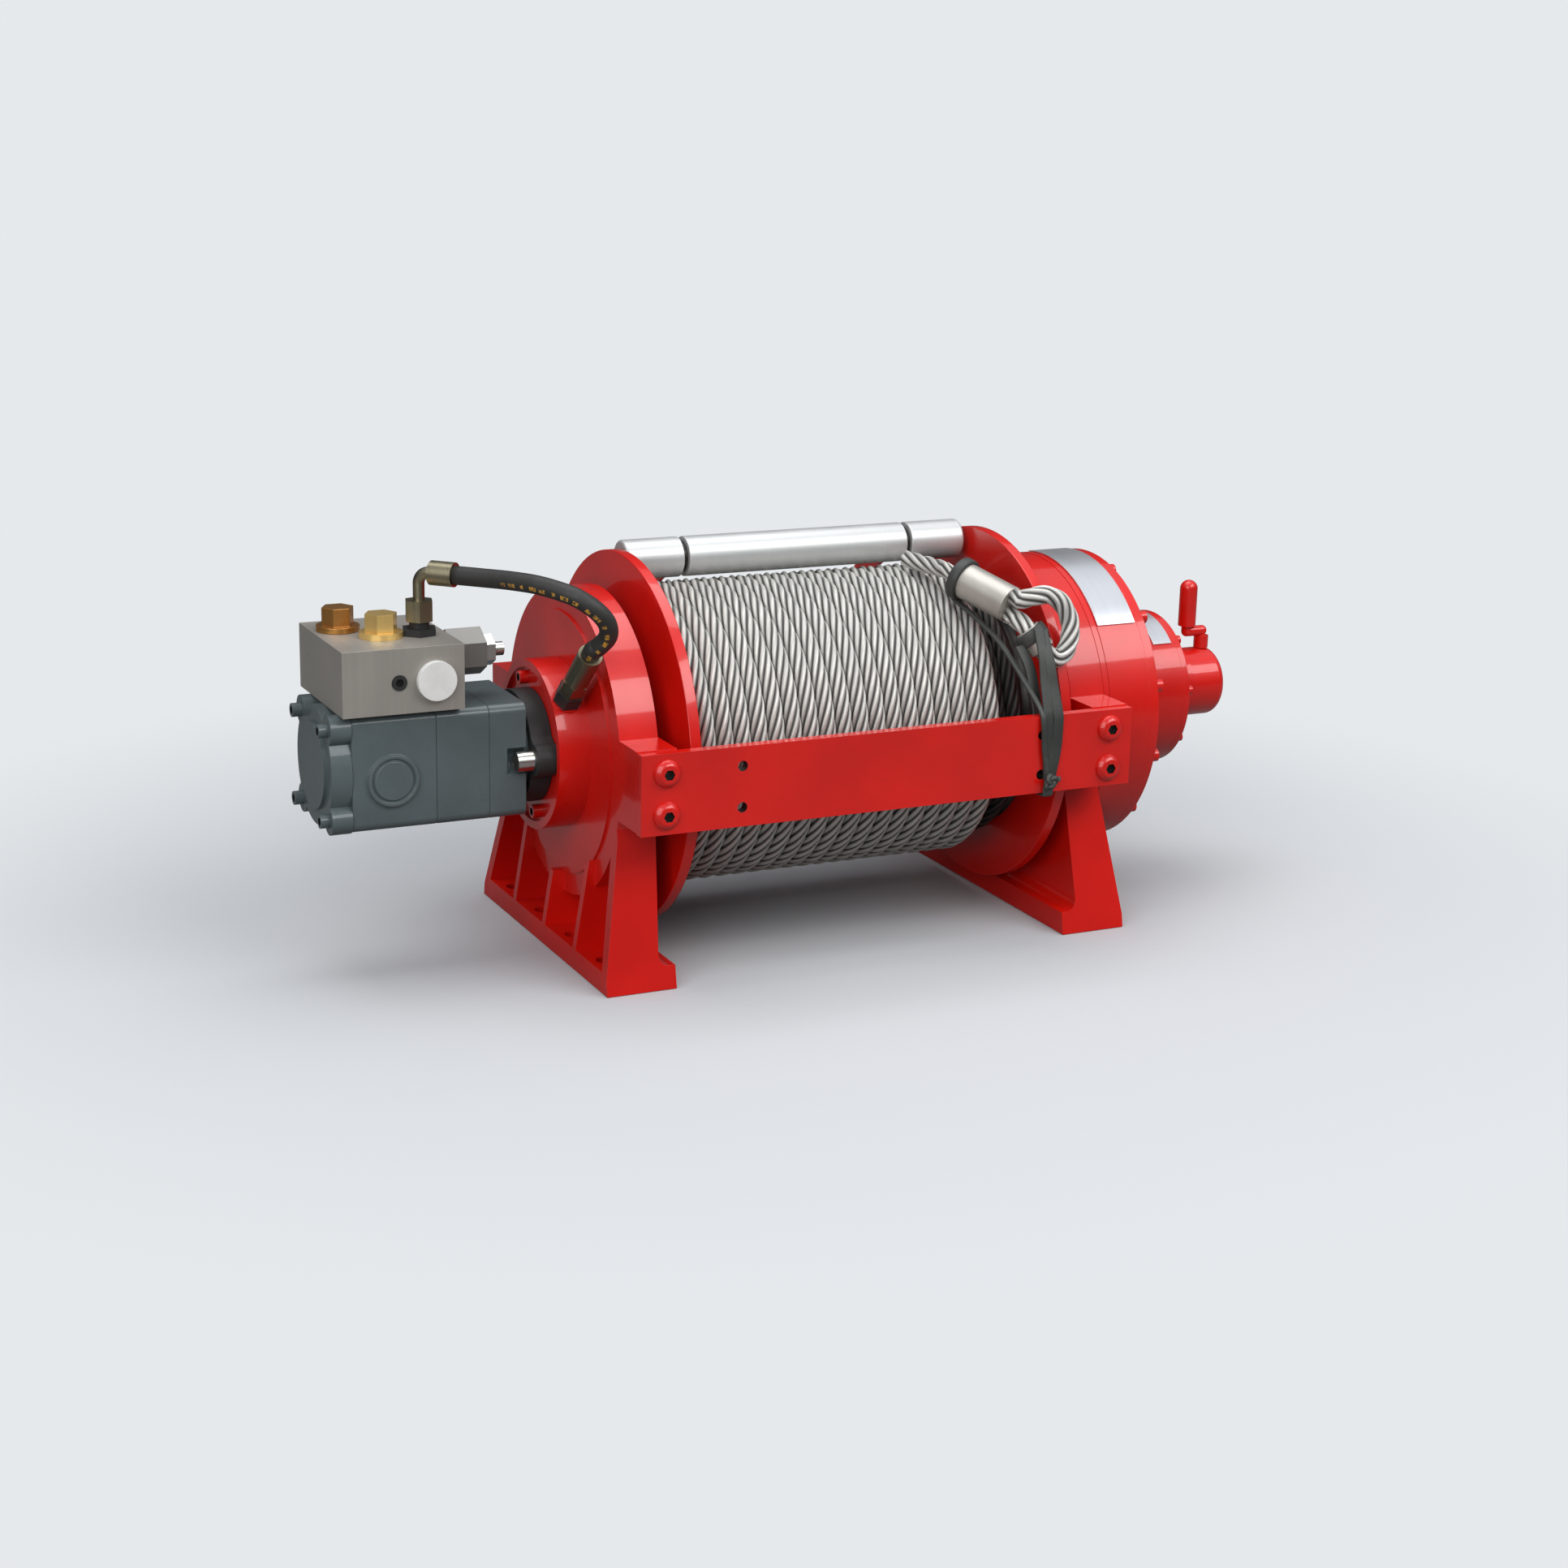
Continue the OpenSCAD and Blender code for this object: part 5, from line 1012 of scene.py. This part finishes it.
@dataclass
class Drum:
    """The drum and the rope wound on it."""

    rope: LaidRope
    edge_round: float = 0.8
    layer_r: float = 126.9
    first_x: float = -166.5
    pitch: float = 16.3
    first_angle: float = 150.0
    turns: float = 442 * 15 / 360
    stations: int = 168
    pieces: int = 2
    barrel_r: float = 91.2
    flange_in: float = 175.0
    under_r: float = 118.0
    low_r: float = 112.9
    low_from: float = 134.0
    low_to: float = 167.1
    ridge_steps: int = 12
    ridge_share: float = 0.9
    ring_count: int = 96

    def helix(self, radius: float, start_x: float, first: float, last: float) -> tuple[Array, Array]:
        """A helix round the drum.

        The point at angle a is (start_x + pitch * turns, -r sin a, axis + r cos a).

        Args:
            radius: of the rope's centre line.
            start_x: place of angle zero along the drum.
            first: the first angle in turns.
            last: the last angle in turns.
        Returns:
            The stations and the outward vector at each.
        """
        turn = np.linspace(first, last, int(round((last - first) * self.stations)) + 1)
        out = outward(turn)
        return (start_x + self.pitch * turn)[:, None] * X + AXIS_Z * Z + radius * out, out

    def build(self) -> None:
        """Dresses the drum and winds its rope."""
        soften(Finishes.RED, self.edge_round, "drum")
        coat(Finishes.BRONZE, "drum_bushes")
        coat(Finishes.DARK, "low_carrier", "low_planet_1", "low_planet_2", "low_planet_3", "high_carrier",
             "high_planet_1", "high_planet_2", "high_planet_3")
        self.wind_outer()
        self.wind_lower()

    def wind_outer(self) -> None:
        """Winds the outer layer, with straight ends one rope wide, in pieces that meet face to face."""
        first = self.first_angle / 360
        path, out = self.helix(self.layer_r, self.first_x - self.pitch * first, first, first + self.turns)
        way, end = ways(path), 2 * self.rope.radius
        path = np.concatenate([[path[0] - end * way[0]], path, [path[-1] + end * way[-1]]])
        out = np.concatenate([out[:1], out, out[-1:]])
        cut = np.linspace(0, len(path) - 1, self.pieces + 1).astype(int)
        before = lengths(path)
        for k, (start, stop) in enumerate(zip(cut, cut[1:] + 1), 1):
            shell = self.rope.along(path[start:stop], out[start:stop], before[start])
            lay(f"rope_winding_{k}", shell, Finishes.ROPE, "rope_winding")

    def wind_lower(self) -> None:
        """Fills the space under the outer layer: ridges like a rope's turns, and laid turns where they show.
        Their rope is near black, which is painted shade.

        A ridge is a half circle of the rope's radius, cut off at a share of it on each side of its crest.
        """
        x = np.arange(-self.flange_in, self.flange_in, self.pitch / self.ridge_steps)
        off = np.abs(((x + self.flange_in) % self.pitch) / self.pitch * 2 - 1)
        depth = self.rope.radius * (1 - np.sqrt(1 - np.minimum(off, self.ridge_share) ** 2))
        crest = np.where(x < self.low_from, self.under_r, self.low_r)
        profile = [*zip(x, crest - depth), (self.flange_in, self.low_r), (self.flange_in, self.barrel_r),
                   (-self.flange_in, self.barrel_r)]
        path, out = self.helix(self.low_r, self.low_from, 0.0, (self.low_to - self.low_from) / self.pitch)
        shell = joined(turned(profile, self.ring_count, AXIS_Z * Z, X, Z), self.rope.along(path, out))
        # The lower layers carry painted shade: their rope is near black where it lies in the shadow of the
        # outer layer.
        lay("rope_lower_layers", shell, Finishes.ROPE_IN_PAINTED_SHADE, "rope_core")


@dataclass
class Gearbox:
    """The two-stage planetary gearbox with the clutch at its end."""

    casting_round: float = 1.0
    lever_round: float = 0.6

    def build(self) -> None:
        """Dresses the gearbox and the clutch."""
        soften(Finishes.RED, self.casting_round, "low_ring_gear", "gearbox_cover", "high_ring_gear",
               "high_cover", "clutch_housing")
        coat(Finishes.RED, "housing_screws")
        soften(Finishes.RED, self.lever_round, "clutch_lever")
        coat(Finishes.DARK, "clutch_plunger")
        coat(Finishes.PLATE, "nameplates")


@dataclass
class RopePress:
    """The sprung roller that lies on the rope."""

    roller_round: float = 0.8
    arm_round: float = 0.5
    roller_y: float = 32.9
    roller_z: float = 336.05
    eye_r: float = 14.6
    spring_y: float = 197.0
    spring_z: float = 230.0
    coil_r: float = 12.5
    wire_r: float = 1.2
    wire_count: int = 12
    inner_x: float = 115.8
    curl_pitch: float = 2.97
    curls: float = 3.5
    curl_steps: int = 40

    def build(self) -> None:
        """Dresses the rollers, arms and brackets, and winds the springs."""
        soften(Finishes.SATIN, self.roller_round, "roller_centre", "roller_left", "roller_right")
        soften(Finishes.RED, self.arm_round, "tensioner_brackets")
        # The arms' eyes between the rollers are painted dark as shade.
        divide("tensioner_arms", [("tensioner_arms_finished", Finishes.RED), ("arm_eyes_painted_shade", Finishes.DARK)],
               self.eye_share, self.arm_round)
        coat(Finishes.DARK, "tensioner_shafts")
        springs = joined(self.spring(1), self.spring(-1))
        lay("torsion_spring_wire", springs, Finishes.BRIGHT, "torsion_springs")

    def eye_share(self, at: Array) -> Array:
        """One for the faces near the rollers' axis, which are the arms' eyes, and zero for the others.
        The eyes are painted dark as the shade in the gaps between the rollers.
        """
        off = np.hypot(at[:, 1] - self.roller_y, at[:, 2] - self.roller_z)
        return (off < self.eye_r).astype(int)

    def spring(self, side: int) -> Shell:
        """A torsion spring: round wire on a helix.

        Args:
            side: 1 for the spring at the gearbox's end, -1 for the one at the motor's.
        Returns:
            The wire, whose point at angle a is (side * (inner_x + pitch * turns), y - r sin a, z + r cos a).
        """
        turn = np.linspace(0, self.curls, int(self.curls * self.curl_steps) + 1)
        out = outward(turn)
        x = side * (self.inner_x + self.curl_pitch * turn)
        path = x[:, None] * X + self.spring_y * Y + self.spring_z * Z + self.coil_r * out
        return tube(path, out, circle(self.wire_r, self.wire_count))


@dataclass
class RopeEnd:
    """The end of the rope: the tail over the winding, the pressed ferrule, and the eye."""

    rope: LaidRope
    eye_rope: LaidRope
    rope_top: float = 319.8
    tail: tuple[Triple, ...] = ((96, -8, 8.4), (101, -24, 7.4), (105.5, -41, 7))
    ferrule_from: Triple = (114.5, -71.8, 2.6)
    ferrule_to: Triple = (140, -124, -14.8)
    ferrule_round: float = 1.5
    leg_offset: float = 8.9
    eye: tuple[Triple, ...] = (
        (155, -138, -5.8), (168, -140, -4.8), (180, -144, -11.8), (187, -149, -28.8), (183, -155, -45.8),
        (173, -157, -58.3), (161, -150, -52.8), (147.5, -140, -32.8))
    seat: float = 0.3
    steps: int = 14

    def over(self, points: Sequence[Triple]) -> Array:
        """Points given from the top of the winding, in the part's frame."""
        return np.array(points, float) + self.rope_top * Z

    def build(self) -> None:
        """Lays the tail and the eye, each a little way into the ferrule, and dresses the ferrules."""
        start, end = self.over([self.ferrule_from, self.ferrule_to])
        way = unit(end - start)
        into = self.seat * way
        path = smooth_through([*self.over(self.tail), start - 2 * self.rope.radius * way], self.steps)
        path = np.concatenate([path, [start - into]])
        tail = self.rope.along(path, carried(ways(path), Z))
        side = square_to(Z, way)
        legs = end + self.leg_offset * np.stack([side, -side])
        bare = legs + self.eye_rope.radius * way
        loop = smooth_through([bare[0], *self.over(self.eye), bare[1]], self.steps)
        loop = np.concatenate([[legs[0] + into], loop, [legs[1] + into]])
        eye = self.eye_rope.along(loop, carried(ways(loop), side))
        lay("rope_tail_laid", joined(tail, eye), Finishes.ROPE, "rope_tail")
        soften(Finishes.ALLOY, self.ferrule_round, "rope_ferrules", segments=3)


@dataclass
class Strap:
    """The rubber strap that holds the eye down to the front bar."""

    width: float = 10.0
    thin: float = 5.0
    thickness: float = 3.0
    steps: int = 12
    bar_face_y: float = -182.8
    bar_back_y: float = -169.2
    bar_top: float = 216.0
    ring: Triple = (151.9, -143.3, 280.5)
    ring_way: Triple = (-0.517, 0.383, 0.766)
    ring_bore: float = 11.7
    ring_width: float = 12.0
    wrap_bore: float = 16.8
    wrap_from: float = 1.0
    wrap_width: float = 10.0
    loop_round: float = 0.7
    loop_count: int = 64
    ferrule_from: Triple = (114.5, -71.8, 322.4)
    ferrule_way: Triple = (0.4205, -0.8608, -0.2869)
    first_lift: Triple = (-1, -12.4, 9.3)
    first: tuple[Triple, ...] = (
        (151, 16.2, 50), (150, 9.8, 29), (149.5, 2.8, 9), (149, 0, -4), (150, 0, -31), (152, 0, -58))
    second_lift: Triple = (3, -12.6, 7.5)
    second: tuple[Triple, ...] = (
        (156, 14.2, 46), (157.5, 7.8, 24), (159, 0.4, 2), (159, -0.6, -10), (158, -0.6, -31),
        (153, -0.6, -58))
    third_lift: Triple = (-5.5, -3.4, -18.6)
    third: tuple[Triple, ...] = (
        (119, 74.8, 72), (128, 47.8, 54), (137, 20.8, 26), (143, 3.8, 6), (144, -1.2, -6), (146, -1.2, -31),
        (151, -1.2, -58))
    under: tuple[Triple, ...] = ((152, 0, -66), (152, 0.6, -71.9), (152, 6.8, -72.3))
    back: tuple[Triple, ...] = (
        (152, -0.6, -71.9), (152, 0, -66), (150, 0, -36), (147, 0, -6), (144.5, 4, 18), (142.5, 12, 40))
    back_lift: Triple = (-14.4, -4.3, -7.4)
    knot: Triple = (152, -2, -58)
    knot_out: float = 3.0
    knot_size: float = 1.7
    knot_depth: float = 1.6
    knot_band_r: float = 2.4
    knot_length: float = 0.06
    knot_stations: int = 120
    knot_count: int = 14
    tags: tuple[Triple, ...] = ((0.9, -0.1, 0.35), (-0.8, -0.15, -0.5))
    tag_length: float = 9.0
    tag_width: float = 7.0
    tag_thickness: float = 2.4
    tag_taper: float = 0.45
    tag_sag: Triple = (0, -1.5, -1.0)
    tag_side: Triple = (0.4, 0.2, 0.9)
    tag_steps: int = 12

    def near(self, points: Sequence[Triple], y: float) -> Array:
        """Points given from a face of the bar and its upper edge, in the part's frame."""
        return np.array(points, float) + y * Y + self.bar_top * Z

    def band(self, points: Sequence[Array], width: float) -> Shell:
        """A flat band along a smooth curve, with its width along the bar."""
        path = smooth_through(points, self.steps)
        return tube(path, square_to(X, ways(path)), soft_oblong(width, self.thickness))

    def loop(self, centre: Array, way: Triple, bore: float, width: float, start: float) -> Shell:
        """A turn of band round a ferrule or a leg of the eye.

        Args:
            centre: the point of the axis from which the turn's place counts.
            way: the axis.
            bore: the turn's inner radius.
            width: its width along the axis.
            start: where along the axis it starts.
        Returns:
            The closed ring, whose outer corners are cut off twice.
        """
        w = unit(np.array(way))
        top, end, e = bore + self.thickness, start + width, self.loop_round
        profile = [(start, bore + e), (start + e, top - e / 2), (start + 2 * e, top), (end - 2 * e, top),
                   (end - e, top - e / 2), (end, bore + e), (end, bore), (start, bore)]
        return turned(profile, self.loop_count, centre, w, square_to(Z, w))

    def knotted(self, centre: Array) -> Shell:
        """The knot: a trefoil whose point is ((2 + cos 3t) cos 2t, (2 + cos 3t) sin 2t, sin 3t).

        Args:
            centre: the knot's middle.
        Returns:
            A round band along the trefoil, with no end.
        """
        t = full_turn(self.knot_stations)
        flat = self.knot_size * (2.0 + np.cos(3 * t))
        depth = -self.knot_depth * np.sin(3 * t)
        path = centre + np.stack([flat * np.cos(2 * t), depth, flat * np.sin(2 * t)], -1)
        way = unit(np.roll(path, -1, 0) - np.roll(path, 1, 0))
        side = square_to(Y, way)
        grid = rings(path, side, np.cross(way, side), circle(self.knot_band_r, self.knot_count))
        return woven(grid, np.linspace(0, self.knot_length, len(t) + 1), round_rows=True)

    def tag(self, centre: Array, way: Triple) -> Shell:
        """A loose end that sticks out of the knot, sags with the square of its length, and thins to its tip.

        Args:
            centre: the knot's middle.
            way: where it points.
        Returns:
            The closed shell.
        """
        share = np.linspace(0, 1, self.tag_steps)[:, None]
        path = centre + share * self.tag_length * np.array(way) + share ** 2 * np.array(self.tag_sag)
        outline = np.repeat(soft_oblong(self.tag_width, self.tag_thickness), self.tag_steps, 0)
        outline[..., 0] *= 1 - self.tag_taper * share
        return tube(path, square_to(np.array(self.tag_side), ways(path)), outline)

    def build(self) -> None:
        """Lays the bands, the turns round the ferrules and the knot, as one piece."""
        ring, ferrule = np.array(self.ring), np.array(self.ferrule_from)
        runs = [self.band([start + lift, *self.near(points, self.bar_face_y)], width)
                for start, lift, points, width in (
                    (ring, self.first_lift, self.first, self.width),
                    (ring, self.second_lift, self.second, self.width),
                    (ferrule, self.third_lift, self.third, self.thin))]
        front = self.near([self.knot, *self.under], self.bar_face_y)
        around = [*front, *self.near(self.back, self.bar_back_y), ring + self.back_lift]
        knot = front[0] - self.knot_out * Y
        shell = joined(*runs, self.band(around, self.width),
                       self.loop(ring, self.ring_way, self.ring_bore, self.ring_width, -self.ring_width / 2),
                       self.loop(ferrule, self.ferrule_way, self.wrap_bore, self.wrap_width, self.wrap_from),
                       self.knotted(knot), *(self.tag(knot, way) for way in self.tags))
        lay("rubber_strap_tied", shell, Finishes.STRAP, "rubber_strap")


@dataclass(frozen=True)
class Lamp:
    """A soft oblong lamp, with its place, size and target in metres and its power in watts."""

    name: str
    at: Triple
    size: tuple[float, float]
    power: float
    target: Triple

    def hang(self) -> None:
        """Puts the lamp into the scene, facing its target."""
        data = bpy.data.lights.new(self.name, "AREA")
        data.shape, data.energy = "RECTANGLE", self.power
        data.size, data.size_y = self.size
        lamp = bpy.data.objects.new(self.name, data)
        bpy.context.scene.collection.objects.link(lamp)
        lamp.location = self.at
        lamp.rotation_euler = (Vector(self.target) - Vector(self.at)).to_track_quat("-Z", "Y").to_euler()


@dataclass
class Studio:
    """The camera, the lights and the pale sweep."""

    azimuth: float = -25.78
    elevation: float = 15.5
    roll: float = 1.27
    eye: Triple = (-1084.8, -2206.2, 803.2)
    lens: float = 63.5
    sensor: float = 36.0
    half_width: float = 7000.0
    front_y: float = -5000.0
    bend_y: float = 3200.0
    bend_r: float = 1500.0
    bend_steps: int = 24
    floor_z: float = -0.5
    top_z: float = 5000.0
    paper: Triple = (0.54, 0.555, 0.57)
    backdrop: Triple = linear(230, 233, 236)
    unseen_paper: Triple = (0.18, 0.18, 0.18)
    fade_from: float = 0.4
    fade_to: float = 1.05
    sky: Triple = (0.62, 0.65, 0.70)
    horizon: Triple = (0.09, 0.09, 0.1)
    lamps: tuple[Lamp, ...] = (
        Lamp("key", (1.05, -1.75, 1.95), (2.4, 1.1), 40, (0.05, 0, 0.2)),
        Lamp("fill", (-1.9, -1.7, 1.3), (2.2, 2.2), 36, (0, 0, 0.2)),
        Lamp("top", (0.0, 0.3, 2.6), (2.4, 1.6), 30, (0, 0, 0.2)))

    def camera(self) -> None:
        """Places the camera where the photograph was taken from."""
        a, e, r = (math.radians(x) for x in (self.azimuth, self.elevation, self.roll))
        back = Vector((math.sin(a) * math.cos(e), -math.cos(a) * math.cos(e), math.sin(e)))
        right = Vector((math.cos(a), math.sin(a), 0))
        up = back.cross(right)
        turn = Matrix((right * math.cos(r) + up * math.sin(r), up * math.cos(r) - right * math.sin(r), back))
        data = bpy.data.cameras.new("camera")
        data.sensor_width, data.lens = self.sensor, self.lens
        camera = bpy.data.objects.new("camera", data)
        bpy.context.scene.collection.objects.link(camera)
        camera.matrix_world = Matrix.Translation(Vector(self.eye) * MM) @ turn.transposed().to_4x4()
        bpy.context.scene.camera = camera

    def sweep(self) -> None:
        """The floor, which curves up into a backdrop: flat, then a quarter circle, then upright."""
        bend = np.linspace(0, math.pi / 2, self.bend_steps)
        wall_y = self.bend_y + self.bend_r
        y = np.concatenate([[self.front_y], self.bend_y + self.bend_r * np.sin(bend), [wall_y]])
        z = np.concatenate([[self.floor_z], self.floor_z + self.bend_r * (1 - np.cos(bend)), [self.top_z]])
        x = np.array([-self.half_width, self.half_width])
        grid = np.stack(np.broadcast_arrays(x[None, :], y[:, None], z[:, None]), -1)
        i = np.arange(len(y) - 1)
        quads = np.stack([2 * i, 2 * i + 1, 2 * i + 3, 2 * i + 2], -1)
        shell = Shell(grid.reshape(-1, 3), [quads], [np.zeros((4 * len(i), 2))])
        floor = bpy.data.objects.new("floor_sweep", shell.mesh("floor_sweep"))
        bpy.context.scene.collection.objects.link(floor)
        floor.data.materials.append(self.sweep_material())

    def sweep_material(self) -> bpy.types.Material:
        """Paper that keeps the winch's shadow near it and is one even colour further out.

        Only the camera sees the pale paper: light that bounces sees a grey one, as in a dark studio.

        Returns:
            The material.
        """
        material = bpy.data.materials.new("sweep_paper")
        material.use_nodes = True
        tree = Tree(material.node_tree)
        near = tree.add("BsdfDiffuse", {"Color": (*self.paper, 1)})
        far = tree.add("Emission", {"Color": (*self.backdrop, 1), "Strength": 1.0})
        unseen = tree.add("BsdfDiffuse", {"Color": (*self.unseen_paper, 1)})
        place = tree.add("TexCoord").outputs["Object"]
        away = tree.add("VectorMath", {0: place}, operation="LENGTH").outputs["Value"]
        fade = tree.spread(away, self.fade_from, self.fade_to, interpolation_type="SMOOTHSTEP")
        seen = tree.add("MixShader", {0: fade, 1: near.outputs[0], 2: far.outputs[0]})
        ray = tree.add("LightPath").outputs["Is Camera Ray"]
        shown = tree.add("MixShader", {0: ray, 1: unseen.outputs[0], 2: seen.outputs[0]})
        tree.add("OutputMaterial", {"Surface": shown.outputs[0]})
        return material

    def light_world(self) -> None:
        """Dim light from all round, brighter overhead; the camera sees the backdrop's colour instead."""
        world = bpy.data.worlds.new("studio")
        world.use_nodes = True
        tree = Tree(world.node_tree)
        height = tree.add("SeparateXYZ", {0: tree.add("TexCoord").outputs["Generated"]}).outputs[2]
        light = tree.shade(height, self.horizon, self.sky, 0.1, 0.9)
        colour = tree.mixed(tree.add("LightPath").outputs["Is Camera Ray"], light, self.backdrop)
        shown = tree.add("Background", {"Color": colour, "Strength": 1.0})
        tree.add("OutputWorld", {"Surface": shown.outputs[0]})
        bpy.context.scene.world = world

    def build(self) -> None:
        """Sets up the camera, sweep, lamps and world."""
        self.camera()
        self.sweep()
        for lamp in self.lamps:
            lamp.hang()
        self.light_world()
        bpy.context.scene.view_settings.view_transform = "Standard"


def main() -> None:
    """Builds the studio and the sub-assemblies in order."""
    logging.basicConfig(level=logging.INFO, format="%(name)s: %(message)s")
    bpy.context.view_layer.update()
    rope = LaidRope()
    for assembly in (Studio(), Stand(), Motor(), Brake(), ValveBlock(), Hose(), Drum(rope), Gearbox(),
                     RopePress(), RopeEnd(rope, LaidRope(radius=8.6)), Strap()):
        assembly.build()


if __name__ == "__main__":
    main()
